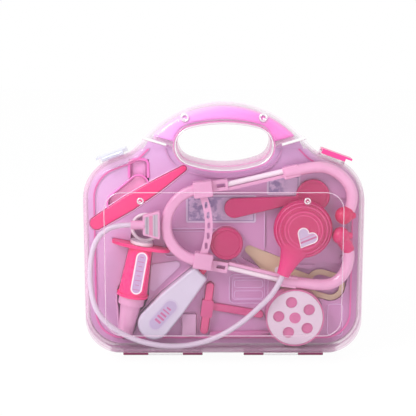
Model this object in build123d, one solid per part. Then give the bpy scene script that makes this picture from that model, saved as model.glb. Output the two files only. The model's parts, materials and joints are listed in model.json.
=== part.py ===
from build123d import *
import os
from math import sin, cos, tan, atan2, degrees, radians, hypot

# Toy doctor case, standing upright on its hinge knuckles.  Millimetres.
# X runs to the right, Y from the clear front cover to the back, Z up.
# The two shells meet at y = 0.  Every depth below is a Y value.

# ---- case -------------------------------------------------------------
half_width = 133.5        # to the outside of the side walls
floor_z = 9.7             # underside of the bottom wall
crown_z = 249.7           # top of the handle arch
shell_depth = 30.0        # each shell, from the parting face
wall = 1.5
draft = 1.5               # degrees
bottom_corner_r = 34.0
top_corner_r = 39.0
shoulder_z = 184.9        # where the shoulder line meets the side
shoulder_slope = 20.0     # degrees
neck_r = 30.0
flank_slope = 46.0        # degrees
arch_r = 98.0
edge_r = 6.5              # rounding of the large faces
flange_out = 2.0          # rim round the parting line
flange_deep = 2.5
emboss = 0.8              # height of the raised panel and the hole rim

# ---- handle hole -------------------------------------------------------
hole_low_z = 190.3
hole_high_z = 232.6
hole_low_r = 100.0
hole_high_r = 125.0
hole_end_r = 17.0
hole_rim = 4.5

# ---- raised panel ------------------------------------------------------
panel_half_w = 112.8
panel_low_z = 28.8
panel_high_z = 168.3
panel_r = 17.0
panel_post_x = 78.9
panel_post_z = 159.3
post_r = 3.4
post_hole_r = 1.4
panel_post_long = 4.0

# ---- grip --------------------------------------------------------------
grip_margin = 5.5         # from the arch and from the hole
grip_front = -12.0
grip_soft = 1.0
grip_post_x = 36.9
grip_post_z = 237.0
grip_post_r = 4.4
rib_x = 62.5
rib_z = 215.8
rib_near_x = 40.0
rib_far_x = 95.0
rib_slope = 16.5          # degrees
rib_long = 34.0
rib_thick = 3.2
rib_back = 2.0

# ---- hinges -------------------------------------------------------------
knuckle_r = 3.6
pin_r = 1.3
pin_clear = 0.05
knuckle_inner_x = 20.4
inner_knuckle_long = 19.6
cover_knuckle_long = 33.4
outer_knuckle_long = 24.6
knuckle_gap = 0.4
hinge_end_wall = 2.4

# ---- latches -------------------------------------------------------------
latch_x = 104.0
latch_long = 27.0
latch_tab = 3.0           # finger tab past the outer end
latch_thick = 1.9
latch_rise = 4.0          # plate underside above the flange
latch_reach = 11.0        # from the parting line to the hook's outer face
latch_pin_y = 9.0
latch_pin_rise = 3.0
latch_barrel_r = 2.4
latch_pin_r = 0.9
ear_thick = 2.4
ear_clear = 0.4
ear_root = 9.0            # below the flange's edge, trimmed flush with the wall's inside
hook_thick = 1.8
catch_high = 0.9          # above the flange
latch_edge_r = 0.7
latch_arm_step = 0.5      # arm's top under the plate's top
latch_arm_gap = 1.2       # from the barrel's clearance to the plate
latch_pin_short = 1.0     # pin ends, short of the ears' outer faces
catch_gap = 0.3
catch_thick = 2.0
catch_long = 16.0

# ---- tray ------------------------------------------------------------------
tray_face = 1.0
tray_sheet = 1.0
tray_inset = 0.8          # from the rear shell's wall
tray_top_z = 206.0
recess_corner = 5.0
recess_deep = 1.6
recesses = [(6.0, 53.0, 44.0, 82.0), (40.0, 92.0, 121.0, 158.0), (-58.0, 100.0, -2.0, 128.0)]
rim_wide = 1.6
rim_high = 1.4
tray_hole_margin = 5.0
skirt_inset = 7.6         # from the outside of the case
seat = 0.3                # running gap under a piece
pocket_clear = 0.4        # gap round a piece
post_clear = 0.3

# ---- headset -----------------------------------------------------------------
yoke_x = -19.8
yoke_z = 134.2
yoke_r = 35.0
yoke_wide = 10.4
yoke_deep = 8.0
yoke_y = -14.0
yoke_soft = 3.0
socket_long = 18.5
socket_wide = 15.6
socket_deep = 11.0
upper_socket_angle = 7.0
lower_socket_angle = -9.0
clip_long = 15.5
clip_wide = 10.2
clip_deep = 7.6
clip_window_long = 8.5
clip_window_wide = 3.6
clip_window_off = 1.0     # towards the rod
clip_window_r = 0.8
clip_corner_r = 1.2
socket_corner_r = 1.6
socket_soft = 1.2
rod_y = -9.0
rod_r = 2.6
rail_wide = 3.0
rail_deep = 4.6
rail_gap = 0.3
upper_rod_start = (4.0, 173.2)
upper_rod_end = (57.0, 185.6)
lower_rod_start = (4.0, 91.6)
lower_rod_end = (56.0, 78.8)
ear_tube_r = 5.4
ear_tube_y = -9.0
upper_tube_bends = [(100.5, 189.4), (119.5, 175.2), (123.6, 160.0)]
upper_tube_end = (120.4, 148.0)
upper_tube_radii = [18.0, 20.0, 24.0]
lower_tube_bends = [(99.0, 73.6), (115.5, 86.5)]
lower_tube_end = (121.2, 108.5)
lower_tube_radii = [15.0, 20.0]
tip_r = 8.4
tip_y = -12.0
upper_tip = (115.0, 143.2)
lower_tip = (112.4, 123.6)
tip_nose = 11.2           # from the ball's centre to the nose's end
tip_nose_r = 2.4
strap_wide = 7.4
strap_thick = 1.6
strap_y = -14.4
strap_bulge = 5.0
strap_slot_long = 6.4
strap_slot_wide = 2.8
strap_slots = [0.14, 0.32, 0.5, 0.68, 0.86]
upper_seat_x = 110.0
upper_seat_z = 182.3
lower_seat_x = 118.7
lower_seat_z = 99.0
holder_left_x = -77.0
holder_right_x = -60.6
holder_left_half = 9.3
holder_right_half = 14.0
holder_z = 135.4
holder_front = -22.2
holder_back = -14.8
holder_border = 2.2
holder_corner_r = 1.6
holder_soft = 0.8
stem_lap = 2.0            # of the stem into the holder
label_thick = 0.5
stem_r = 4.3
stem_long = 11.2

# ---- chest piece ----------------------------------------------------------------
chest_x = 75.9
chest_z = 130.7
chest_r = 28.1
chest_front = -23.4
chest_back = -8.0
chest_face_r = 19.4
diaphragm_r = 23.0
diaphragm_thick = 1.6
neck_end = (57.0, 86.4)
# share of the way from the bell to the hose, depth, half width, half depth
neck_sections = [(0.3, -16.0, 18.5, 7.2), (0.62, -17.2, 10.6, 6.9), (1.0, -18.8, 6.2, 5.4)]
heart_x = 79.2
heart_z = 123.6
heart_lobe_r = 5.5
heart_lobe_out = 4.73
heart_lobe_up = 2.75
heart_point_down = 9.6
heart_point_r = 1.0
heart_tilt = 18.0

# ---- hose -------------------------------------------------------------------------
hose_r = 2.65
hose_y = -19.0
hose_route = [
    (-102.5, 135.4), (-115.2, 128.8), (-123.6, 117.8), (-127.8, 99.6), (-128.4, 76.0), (-124.2, 51.6),
    (-108.5, 33.4), (-82.0, 19.2), (-47.0, 13.4), (-12.0, 20.6), (15.6, 36.6),
    (36.4, 56.0),
]
hose_lead = 17.0          # straight run before the chest piece

# ---- syringe ------------------------------------------------------------------------
syringe_x = -79.9
syringe_z = 111.9
syringe_lean = 10.5       # degrees from upright
syringe_y = -3.0
barrel_long = 49.0
barrel_top_r = 11.2
barrel_low_r = 14.3
barrel_bore_r = 8.8
bore_long = 45.0
finger_flange_long = 57.3
finger_flange_wide = 27.0
finger_flange_thick = 3.0
lip_r = 15.4
lip_thick = 2.6
lip_lap = 1.0             # of the lip over the barrel's end
nose_collar_r = 12.6
nose_collar_long = 8.6
nose_r = 10.3
nose_tip_r = 7.2
nose_long = 31.0
nose_bore_r = 2.0
nose_bore_start = 12.0
scale_long = 44.0
scale_wide = 13.4
scale_proud = 0.6
scale_border = 1.2
scale_sunk = 4.0          # root of the raised scale, inside the barrel's wall
scale_side = 3.0
plunger_rod_r = 5.0
plunger_long = 38.0
plunger_disc_r = 11.3
plunger_travel = 14.0
plunger_disc_thick = 3.0
plunger_disc_gap = 0.4
plunger_lap = 0.5         # of the rod into its disc
plunger_ring_side = 1.0
plunger_ring_r = 12.8
plunger_ring_thick = 1.7
plunger_ring_rise = 18.4
seal_r = 8.7
seal_thick = 4.0

# ---- thermometer -----------------------------------------------------------------------
thermo_shift = 1.6
thermo_top = [(-29.6, 88.2, 3.0), (-21.0, 79.6, 3.0)]
thermo_mid = (-52.2, 54.4, 14.6)
thermo_low = (-69.3, 34.6, 16.0)
thermo_front = -11.0
thermo_back = 3.0
thermo_soft = 2.6
probe_r = 4.6
probe_long = 8.0
probe_root = 2.0          # inside the body's end
probe_taper = 1.4
thermo_label_x = -60.4
thermo_label_z = 44.2
thermo_label_long = 37.0
thermo_label_wide = 14.6
thermo_axis = 48.6        # degrees from level

# ---- flat toys ---------------------------------------------------------------------------
scalpel_shape = [(-123.2, 133.4, 6.4), (-92.0, 152.6, 7.6), (-66.0, 169.0, 6.2), (-38.4, 187.0, 2.9)]
scalpel_front = -0.4
scalpel_back = 3.6
paddle_handle = [(10.4, 148.9, 9.6), (70.0, 157.0, 3.4)]
paddle_head = (86.1, 160.7, 16.2)
paddle_neck_r = 6.0
paddle_rim = 3.0
paddle_recess = 1.0
tweezer_root = (-11.0, 22.0, 2.4)
tweezer_tips = [(44.0, 24.2, 1.3), (44.0, 20.8, 1.3)]
tweezer_front = -3.4
tweezer_soft = 0.5
toy_soft = 1.0
paddle_front = -4.9
paddle_back = 0.1
hammer_head_shape = [(-13.0, 71.0, 3.8), (-18.7, 26.6, 3.8)]
hammer_handle_shape = [(-10.0, 50.2, 3.6), (36.0, 42.2, 3.6)]
hammer_collar_long = 17.0
hammer_collar_wide = 11.4
hammer_collar_soft = 1.4
hammer_collar_proud = 0.8
hammer_front = -4.6
hammer_back = 3.0
handle_front = -2.6
badge_shape = [(-66.6, 88.8, 4.0), (-46.0, 92.2, 3.6), (-68.6, 69.0, 3.2)]
badge_thick = 1.2
pill_box_x = -33.6
pill_box_z = 32.0
pill_box_wide = 14.0
pill_box_tall = 22.0
pill_box_soft = 1.5
pill_box_front = -4.0
pill_box_back = 4.0
pill_box_wall = 1.0
pill_box_cells = 4
pill_box_edge = 0.6
card_thick = 0.4
card_gap = 0.2
card_corner_r = 2.0
wide_card = (-36.4, 133.8, 31.5, 161.2)
tall_card = (41.8, 161.0, 74.0, 180.7)

# ---- round toys ----------------------------------------------------------------------------
jar_x = 2.8
jar_z = 115.4
jar_r = 14.4
jar_back = 9.0
jar_shoulder = -2.7
jar_neck_r = 12.4
jar_wall = 1.4
cap_r = 15.9
cap_front = -12.0
cap_gap = 0.3
cap_recess = 0.8
cap_top_thick = 1.8
cap_bevel = 0.8
cap_rim_wide = 2.8
cap_rim_step = 0.6
jar_rim_gap = 0.4         # under the cap's top
wheel_x = 69.7
wheel_z = 42.1
wheel_r = 28.4
wheel_front = -14.0
wheel_back = 2.0
wheel_rim = 1.2
disc_thick = 1.6
disc_gap = 0.3
disc_recess = 0.2
disc_hole_r = 5.6
disc_hole_ring_r = 15.9
disc_hole_start = 103.0   # degrees
disc_holes = 5
hub_clear = 0.05
bottle_shape = [(-82.0, 171.0, 9.0), (-102.0, 153.0, 10.0)]
bottle_front = 5.0
bottle_back = 21.0
bottle_cap_x = -81.6
bottle_cap_low_z = 178.4
bottle_cap_high_z = 195.4
bottle_cap_r = 9.4
bottle_y = 13.6
bottle_soft = 3.0
bottle_neck_r = 6.4
bottle_neck_in = 4.0      # of the neck into the cap
bottle_cap_lap = 2.0      # of the cap over the shoulder
bottle_cap_taper = 1.2
bottle_cap_soft = 2.4

# ---- scissors -------------------------------------------------------------------------------
pivot_x = 54.0
pivot_z = 86.0
blade_tip = (25.4, 106.6, 4.2)
blade_root_r = 9.0
blade_offset = 3.4        # each blade's lean to its own side
right_loop = [(95.0, 72.6), (105.4, 69.6)]
low_loop = [(66.0, 56.0), (73.0, 47.0)]
loop_r = 14.0
loop_ring = 5.2
shank_r = 4.6
scissor_thick = 1.8
scissor_front = 3.0
scissor_gap = 0.2
scissor_pin_r = 2.0
pivot_rim = 1.6           # of the shank and the pin's head, round the pin
pin_head_thick = 0.6
scissor_swing = 10.0      # degrees that the pocket allows


def flat(y):
    """Plane at depth y that faces the front, with its Y axis upright."""
    return Plane(origin=(0, y, 0), x_dir=(1, 0, 0), z_dir=(0, -1, 0))


def slab(face, front, back):
    """Prism of a flat outline between two depths."""
    return extrude(flat(back) * face, amount=back - front)


def turned(x, z, angle, face):
    """Outline moved to x, z and turned anticlockwise as the front sees it."""
    return Pos(x, z) * Rot(0, 0, angle) * face


def hull(*circles, grow=0.0):
    """Tight outline round circles given as x, z, radius."""
    edges = [edge for x, z, r in circles for edge in (Pos(x, z) * Circle(r + grow)).edges()]
    return make_hull(edges)


def case_outline(grow=0.0):
    """Outside of the walls: straight sides, sloped shoulders and a round arch."""
    slope = tan(radians(shoulder_slope))
    steep = tan(radians(flank_slope))
    apex_z = crown_z - arch_r + arch_r / cos(radians(flank_slope))
    neck_x = (apex_z - shoulder_z - half_width * slope) / (steep - slope)
    neck_z = apex_z - neck_x * steep
    points = [
        (-half_width, floor_z),
        (half_width, floor_z),
        (half_width, shoulder_z),
        (neck_x, neck_z),
        (0, apex_z),
        (-neck_x, neck_z),
        (-half_width, shoulder_z),
    ]
    shoulder = (half_width - neck_x) / cos(radians(shoulder_slope))
    corner_r = min(top_corner_r, 0.6 * shoulder / tan(radians(45 - shoulder_slope / 2)))
    inner_r = min(neck_r, 0.3 * shoulder / tan(radians(flank_slope - shoulder_slope) / 2))
    radii = [bottom_corner_r, bottom_corner_r, corner_r, inner_r, arch_r, inner_r, corner_r]
    face = make_face(FilletPolyline(*points, radius=radii, close=True))
    if grow:
        face = offset(face, amount=grow, kind=Kind.ARC)
    return face


def hole_outline(grow=0.0):
    """Lens between two wide arcs, with rounded ends."""
    low = Pos(0, hole_low_z + hole_low_r) * Circle(hole_low_r + grow)
    high = Pos(0, hole_high_z - hole_high_r) * Circle(hole_high_r + grow)
    lens = low & high
    return fillet(lens.vertices(), hole_end_r + grow)


def panel_outline():
    tall = panel_high_z - panel_low_z
    return Pos(0, panel_low_z + tall / 2) * RectangleRounded(2 * panel_half_w, tall, panel_r)


def half_solid():
    """Outside shape of one half, closed towards the front."""
    body = extrude(flat(0) * case_outline(), amount=shell_depth - emboss, taper=draft)
    return fillet(body.faces().sort_by(Axis.Y)[0].edges(), edge_r)


def half_room():
    """Hollow inside one half, round the handle hole's wall."""
    room = extrude(flat(0) * case_outline(-wall), amount=shell_depth - emboss - wall, taper=draft)
    room = fillet(room.faces().sort_by(Axis.Y)[0].edges(), edge_r - wall)
    return room - slab(hole_outline(wall), -shell_depth, 0)


def half_shell(body, room):
    """One half of the case, hollowed out from its outside shape."""
    skin = shell_depth - emboss
    body -= room
    body += slab(panel_outline(), -shell_depth, -skin + wall / 2)
    body += slab(hole_outline(hole_rim), -shell_depth, -skin + wall / 2)
    body += slab(case_outline(flange_out) - case_outline(-wall / 2), -flange_deep, 0)
    body -= slab(hole_outline(), -shell_depth - 1, 1)
    return body


def knuckle_spans():
    """X ranges of one side's knuckles: inner, middle and outer."""
    inner = (knuckle_inner_x, knuckle_inner_x + inner_knuckle_long)
    middle = (inner[1] + knuckle_gap, inner[1] + knuckle_gap + cover_knuckle_long)
    outer = (middle[1] + knuckle_gap, middle[1] + knuckle_gap + outer_knuckle_long)
    return inner, middle, outer


def knuckles(spans, side):
    """Hinge knuckles with a web up to the shell that is on the given side."""
    axis_z = knuckle_r
    body = Part()
    for x0, x1 in spans:
        middle = (x0 + x1) / 2
        roll = Rot(0, 90, 0) * Cylinder(knuckle_r, x1 - x0)
        body += Pos(middle, 0, axis_z) * roll
        high = floor_z + wall / 2 - axis_z
        web = Box(x1 - x0, knuckle_r, high, align=(Align.CENTER, Align.MIN, Align.MIN))
        body += Pos(middle, 0 if side > 0 else -knuckle_r, axis_z) * web
    return body


def pin_holes(grow):
    """Cutter along both hinge axes, stopped short of the outer ends."""
    inner, _, outer = knuckle_spans()
    long = outer[1] - hinge_end_wall - inner[0]
    bar = Rot(0, 90, 0) * Cylinder(pin_r + grow, long + grow)
    middle = inner[0] + long / 2
    return Part() + [Pos(s * middle, 0, knuckle_r) * bar for s in (-1, 1)]


def post(x, z, radius, bore, front, back):
    """Hollow round post between two depths."""
    ring = Pos(x, z) * (Circle(radius) - Circle(bore))
    return slab(ring, front, back)


# ---- latch frame: u along the shoulder, n out of it ---------------------------


def latch_plane(u):
    """Plane across the right shoulder; its X is depth and its Y leaves the case."""
    a = radians(shoulder_slope)
    along = Vector(cos(a), 0, -sin(a))
    out = Vector(sin(a), 0, cos(a))
    wall_z = shoulder_z + (half_width - latch_x) * tan(a)
    origin = Vector(latch_x, 0, wall_z) + out * flange_out + along * u
    return Plane(origin=origin, x_dir=(0, 1, 0), z_dir=along)


def latch_bar(face, u0, u1):
    """Prism along the shoulder of an outline drawn in depth and rise."""
    return extrude(latch_plane(u0) * face, amount=u1 - u0)


def strip(y0, y1, n0, n1):
    """Rectangle in depth and rise."""
    return Pos((y0 + y1) / 2, (n0 + n1) / 2) * Rectangle(y1 - y0, n1 - n0)


def latch_ears():
    """Pair of lugs that carry the latch pin, on the right of the rear shell."""
    half = latch_long / 2
    lug = Pos(latch_pin_y, latch_pin_rise) * Circle(latch_barrel_r)
    lug += strip(latch_pin_y - latch_barrel_r, latch_pin_y + latch_barrel_r, -ear_root, latch_pin_rise)
    ears = latch_bar(lug, half - ear_thick, half) + latch_bar(lug, -half, -half + ear_thick)
    pin = right_pin_body()
    return ears - pin


def latch_catch():
    """Ridge that the hook closes over, on the right of the front cover."""
    front = -latch_reach + hook_thick + catch_gap
    ridge = strip(front, front + catch_thick, -ear_root, catch_high)
    return latch_bar(ridge, -catch_long / 2, catch_long / 2)


def right_latch_body():
    half = latch_long / 2
    inside = half - ear_thick - ear_clear
    plate_front = -latch_reach
    plate_back = latch_pin_y - latch_barrel_r - ear_clear - latch_arm_gap
    top = latch_rise + latch_thick
    plate = strip(plate_front, plate_back, latch_rise, top)
    body = latch_bar(plate, -half, half + latch_tab)
    hook = strip(plate_front, plate_front + hook_thick, catch_high + catch_gap, top)
    body += latch_bar(hook, -half, half - latch_tab)
    body = fillet(body.edges().filter_by(Axis.Y).group_by(Axis.Z)[-1], latch_edge_r)
    arm = strip(plate_back - latch_arm_step, latch_pin_y, latch_rise, top - latch_arm_step)
    barrel = Pos(latch_pin_y, latch_pin_rise) * Circle(latch_barrel_r)
    body += latch_bar(arm + barrel, -inside, inside)
    return body - latch_bar(Pos(latch_pin_y, latch_pin_rise) * Circle(latch_pin_r + pin_clear), -half, half)


def right_pin_body():
    half = latch_long / 2 - latch_pin_short
    return latch_bar(Pos(latch_pin_y, latch_pin_rise) * Circle(latch_pin_r), -half, half)


# ---- case ----------------------------------------------------------------------


def rib_line(margin):
    """Region above the two ribs that end the grip, raised by a margin."""
    steep = tan(radians(rib_slope))
    near = rib_z + (rib_near_x - rib_x) * steep + margin
    far = rib_z + (rib_far_x - rib_x) * steep + margin
    top = crown_z + wall
    right = [(0, near), (rib_near_x, near), (rib_far_x, far), (rib_far_x, top)]
    left = [(-x, z) for x, z in reversed(right[1:])]
    return make_face(Polyline(*(right + left), close=True))


def grip_ribs():
    """Two bars across the handle's roots, from the hole wall to the arch."""
    bars = [
        turned(s * rib_x, rib_z, s * rib_slope, Rectangle(rib_long, rib_thick)) for s in (-1, 1)
    ]
    inside = case_outline(-wall / 2) - hole_outline(wall / 2)
    bars = (bars[0] + bars[1]) & inside
    return slab(bars, -shell_depth + emboss + wall / 2, -rib_back)


def grip_posts():
    body = Part()
    for s in (-1, 1):
        body += post(s * grip_post_x, grip_post_z, grip_post_r, post_hole_r,
                     -shell_depth + emboss + wall / 2, grip_front - post_clear)
    return body


def panel_posts():
    body = Part()
    inside = -shell_depth + emboss + wall
    for s in (-1, 1):
        body += post(s * panel_post_x, panel_post_z, post_r, post_hole_r,
                     inside - wall / 2, inside + panel_post_long)
    return body


def common_half():
    """What both halves share: walls, ribs, one catch and one pair of ears."""
    solid = half_solid()
    room = half_room()
    fittings = latch_catch() + Rot(0, 0, 180) * latch_ears()
    inside = (grip_ribs() & solid) + (grip_posts() & solid)
    return half_shell(solid, room) + inside + (fittings - room)


def front_cover(half):
    _, middle, _ = knuckle_spans()
    spans = [middle, (-middle[1], -middle[0])]
    return half + panel_posts() + knuckles(spans, -1) - pin_holes(pin_clear)


def rear_shell(half):
    inner, _, outer = knuckle_spans()
    spans = [inner, outer, (-inner[1], -inner[0]), (-outer[1], -outer[0])]
    return Rot(0, 0, 180) * half + knuckles(spans, 1) - pin_holes(pin_clear)


def handle_grip():
    band = case_outline(-grip_margin) - hole_outline(grip_margin)
    band = band & rib_line(rib_thick / 2 + grip_margin - wall)
    body = slab(band, grip_front, -grip_front)
    front = body.faces().sort_by(Axis.Y)[0].edges()
    return chamfer(front.filter_by(GeomType.CIRCLE), grip_soft)


# ---- headset ----------------------------------------------------------------------


def rod(a, b, r0, r1=None):
    """Round bar or taper from point a to point b."""
    a = Vector(*a)
    b = Vector(*b)
    place = Plane(origin=a, z_dir=b - a)
    base = (Align.CENTER, Align.CENTER, Align.MIN)
    if r1 is None:
        return place * Cylinder(r0, (b - a).length, align=base)
    return place * Cone(r0, r1, (b - a).length, align=base)


def tube(points, radii, y, radius, bore=0.0):
    """Round tube along runs joined by tangent arcs in one plane."""
    route = [Vector(x, y, z) for x, z in points]
    path = FilletPolyline(*route, radius=radii)
    place = Plane(origin=path @ 0, z_dir=path % 0)
    section = Circle(radius) - Circle(bore) if bore else Circle(radius)
    return sweep(place * section, path=path)


def pad(face, front, back, soft):
    """Prism whose front edges are rounded."""
    body = slab(face, front, back)
    return fillet(body.faces().sort_by(Axis.Y)[0].edges(), soft)


def headset_yoke():
    top = Plane(origin=(yoke_x, yoke_y, yoke_z + yoke_r), x_dir=(0, 0, 1), z_dir=(1, 0, 0))
    section = top * RectangleRounded(yoke_wide, yoke_deep, yoke_soft)
    return revolve(section, Axis((yoke_x, yoke_y, yoke_z), (0, -1, 0)), 180)


def socket(side, yoke):
    """Block on a yoke end, with the windowed clip that grips the rod."""
    angle = upper_socket_angle if side > 0 else lower_socket_angle
    start = upper_rod_start if side > 0 else lower_rod_start
    z = yoke_z + side * yoke_r
    block = turned(yoke_x, z, angle, RectangleRounded(socket_long, socket_wide, socket_corner_r))
    body = pad(block, yoke_y - socket_deep / 2, yoke_y + socket_deep / 2, socket_soft)
    away = turned(start[0], start[1], angle, Pos(-clip_long / 2, 0) * Rectangle(clip_long, clip_wide))
    clip = slab(away, rod_y - clip_deep / 2, rod_y + clip_deep / 2)
    window = RectangleRounded(clip_window_long, clip_window_wide, clip_window_r)
    hole = Pos(-clip_long / 2 + clip_window_off, 0) * window
    clip -= slab(turned(start[0], start[1], angle, hole), rod_y - clip_deep, rod_y + clip_deep)
    return body + clip - yoke


def rod_ends(side):
    start = upper_rod_start if side > 0 else lower_rod_start
    end = upper_rod_end if side > 0 else lower_rod_end
    return start, end


def ear_rod(side, blocks):
    (x0, z0), (x1, z1) = rod_ends(side)
    return rod((x0, rod_y, z0), (x1, rod_y, z1), rod_r) - blocks


def ear_rail(side, blocks):
    """Flat rail that runs along the inside of the rod."""
    (x0, z0), (x1, z1) = rod_ends(side)
    long = hypot(x1 - x0, z1 - z0)
    angle = degrees(atan2(z1 - z0, x1 - x0))
    off = -side * (rod_r + rail_gap + rail_wide / 2)
    bar = turned((x0 + x1) / 2, (z0 + z1) / 2, angle, Pos(0, off) * Rectangle(long, rail_wide))
    return slab(bar, rod_y - rail_deep / 2, rod_y + rail_deep / 2) - blocks


def ear_tube(side):
    start = rod_ends(side)[1]
    bends = upper_tube_bends if side > 0 else lower_tube_bends
    radii = upper_tube_radii if side > 0 else lower_tube_radii
    end = upper_tube_end if side > 0 else lower_tube_end
    body = tube([start] + bends + [end], radii, ear_tube_y, ear_tube_r)
    angle = degrees(atan2(bends[0][1] - start[1], bends[0][0] - start[0]))
    block = Pos(clip_long / 2, 0) * RectangleRounded(clip_long, clip_wide, clip_corner_r)
    clip = slab(turned(start[0], start[1], angle, block), rod_y - clip_deep / 2, rod_y + clip_deep / 2)
    return body + clip


def ear_tip(side, carrier):
    x, z = upper_tip if side > 0 else lower_tip
    end = upper_tube_end if side > 0 else lower_tube_end
    ball = Pos(x, tip_y, z) * Sphere(tip_r)
    root = rod((end[0], ear_tube_y, end[1]), (x, tip_y, z), ear_tube_r + 0.4, tip_r - 1.4)
    nose = rod((x, tip_y, z), (x + tip_nose, tip_y, z), tip_r - 1.2, tip_nose_r)
    return ball + root + nose - carrier


def adjusting_strap(blocks):
    low = (yoke_x + 0.6, yoke_z - yoke_r + socket_wide / 2)
    high = (yoke_x + 0.6, yoke_z + yoke_r - socket_wide / 2)
    line = ThreePointArc(low, (yoke_x + 0.6 + strap_bulge, yoke_z), high)
    face = make_face(
        [
            ThreePointArc(
                (low[0] + s, low[1]), (yoke_x + 0.6 + strap_bulge + s, yoke_z), (high[0] + s, high[1])
            )
            for s in (-strap_wide / 2, strap_wide / 2)
        ]
        + [
            Line((p[0] - strap_wide / 2, p[1]), (p[0] + strap_wide / 2, p[1])) for p in (low, high)
        ]
    )
    for share in strap_slots:
        spot = line @ share
        face -= turned(spot.X, spot.Y, 0, SlotOverall(strap_slot_long, strap_slot_wide, rotation=90))
    return slab(face, strap_y - strap_thick, strap_y) - blocks


def holder_outline(inset=0.0):
    corners = [
        (holder_left_x, holder_z - holder_left_half),
        (holder_right_x, holder_z - holder_right_half),
        (holder_right_x, holder_z + holder_right_half),
        (holder_left_x, holder_z + holder_left_half),
    ]
    face = make_face(Polyline(*corners, close=True))
    face = fillet(face.vertices(), holder_corner_r)
    return offset(face, amount=-inset, kind=Kind.INTERSECTION) if inset else face


def label_holder(yoke):
    body = pad(holder_outline(), holder_front, holder_back, holder_soft)
    stem_end = (holder_left_x - stem_long, hose_y, holder_z)
    body += rod((holder_left_x + stem_lap, hose_y, holder_z), stem_end, stem_r)
    return body - yoke


def holder_label():
    return slab(holder_outline(holder_border), holder_front - label_thick, holder_front)


# ---- chest piece ---------------------------------------------------------------------


def spun(x, z, points):
    """Solid of revolution about a front-to-back axis; points are radius, depth."""
    place = Plane(origin=(x, 0, z), x_dir=(1, 0, 0), z_dir=(0, 0, 1))
    face = place * make_face(Polyline(*points, close=True))
    return revolve(face, Axis((x, 0, z), (0, 1, 0)), 360)


def chest_piece():
    """Bell with stepped rings and a tapering neck for the hose."""
    f = chest_front
    bell = spun(chest_x, chest_z, [
        (0, chest_back), (chest_r - 6, chest_back), (chest_r, chest_back - 4),
        (chest_r, f + 7), (chest_r - 1.6, f + 4.6), (chest_r - 3.2, f + 4.6),
        (chest_r - 4.2, f + 2.6), (chest_face_r + 1.8, f + 1.8), (chest_face_r + 1.2, f + 1.2),
        (chest_face_r + 0.4, f + 1.2), (chest_face_r, f), (0, f),
    ])
    axis = Vector(neck_end[0] - chest_x, 0, neck_end[1] - chest_z)
    away = axis.length
    axis = axis.normalized()
    sections = []
    for share, depth, half_across, half_deep in neck_sections:
        spot = Vector(chest_x, depth, chest_z) + axis * away * share
        sections.append(Plane(origin=spot, x_dir=(0, 1, 0), z_dir=axis) * Ellipse(half_deep, half_across))
    return bell + loft(sections)


def chest_diaphragm():
    face = Pos(chest_x, chest_z) * Circle(diaphragm_r)
    return slab(face, chest_back, chest_back + diaphragm_thick)


def heart_outline(grow=0.0):
    """Heart from two lobes, each drawn down to one point."""
    point = (0, -heart_point_down, heart_point_r)
    lobes = [(s * heart_lobe_out, heart_lobe_up, heart_lobe_r) for s in (-1, 1)]
    return hull(lobes[0], point, grow=grow) + hull(lobes[1], point, grow=grow)


def heart_badge():
    face = turned(heart_x, heart_z, heart_tilt, heart_outline())
    return slab(face, chest_front - label_thick, chest_front)


def hose():
    """Free hose from the headset's stem to the chest piece's neck."""
    start = (holder_left_x - stem_long, holder_z)
    run = Vector(*neck_end) - Vector(chest_x, chest_z)
    lead = Vector(*neck_end) + run.normalized() * hose_lead
    points = [start] + hose_route + [(lead.X, lead.Y), neck_end]
    radii = []
    for before, at, after in zip(points, points[1:], points[2:]):
        one = Vector(at[0] - before[0], 0, at[1] - before[1])
        two = Vector(after[0] - at[0], 0, after[1] - at[1])
        turn = radians(one.get_angle(two))
        radii.append(0.45 * min(one.length, two.length) / tan(turn / 2))
    body = tube(points, radii, hose_y, hose_r)
    length = body.volume / (3.14159265 * hose_r**2)
    print("hose radii", [round(r, 1) for r in radii], "length", round(length, 1))
    return body


# ---- syringe ---------------------------------------------------------------------------


def syringe_frame(down, side=0.0, y=0.0):
    """Frame on the barrel's axis: Z down the barrel, X along the finger flange."""
    a = radians(syringe_lean)
    axis = Vector(-sin(a), 0, -cos(a))
    across = Vector(cos(a), 0, -sin(a))
    origin = Vector(syringe_x, syringe_y + y, syringe_z) + axis * down + across * side
    return Plane(origin=origin, x_dir=across, z_dir=axis)


UPRIGHT = (Align.CENTER, Align.CENTER, Align.MIN)


def scale_plane(lift):
    """Plane of the scale window, laid on the front of the tapered barrel."""
    slope = atan2(barrel_low_r - barrel_top_r, barrel_long)
    middle = barrel_long / 2
    radius = (barrel_top_r + barrel_low_r) / 2
    base = syringe_frame(middle, scale_side, -radius)
    out = base.z_dir * -sin(slope) + Vector(0, -cos(slope), 0)
    along = base.z_dir * cos(slope) + Vector(0, -sin(slope), 0)
    return Plane(origin=base.origin + out * lift, x_dir=along, z_dir=out)


def syringe_barrel():
    body = syringe_frame(0) * Cone(barrel_top_r, barrel_low_r, barrel_long, align=UPRIGHT)
    body += syringe_frame(barrel_long - lip_lap) * Cylinder(lip_r, lip_thick, align=UPRIGHT)
    grip = Ellipse(finger_flange_long / 2, finger_flange_wide / 2)
    body += extrude(syringe_frame(-finger_flange_thick / 2) * grip, amount=finger_flange_thick)
    window = scale_plane(-scale_sunk) * SlotOverall(scale_long, scale_wide)
    body += extrude(window, amount=scale_sunk + scale_proud)
    bore = Cylinder(barrel_bore_r, bore_long + finger_flange_thick, align=UPRIGHT)
    return body - syringe_frame(-finger_flange_thick) * bore


def syringe_nose():
    start = barrel_long - lip_lap + lip_thick
    body = syringe_frame(start) * Cylinder(nose_collar_r, nose_collar_long, align=UPRIGHT)
    body += syringe_frame(start + nose_collar_long) * Cone(nose_r, nose_tip_r, nose_long, align=UPRIGHT)
    return body - syringe_frame(start + nose_bore_start) * Cylinder(nose_bore_r, nose_long, align=UPRIGHT)


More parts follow.
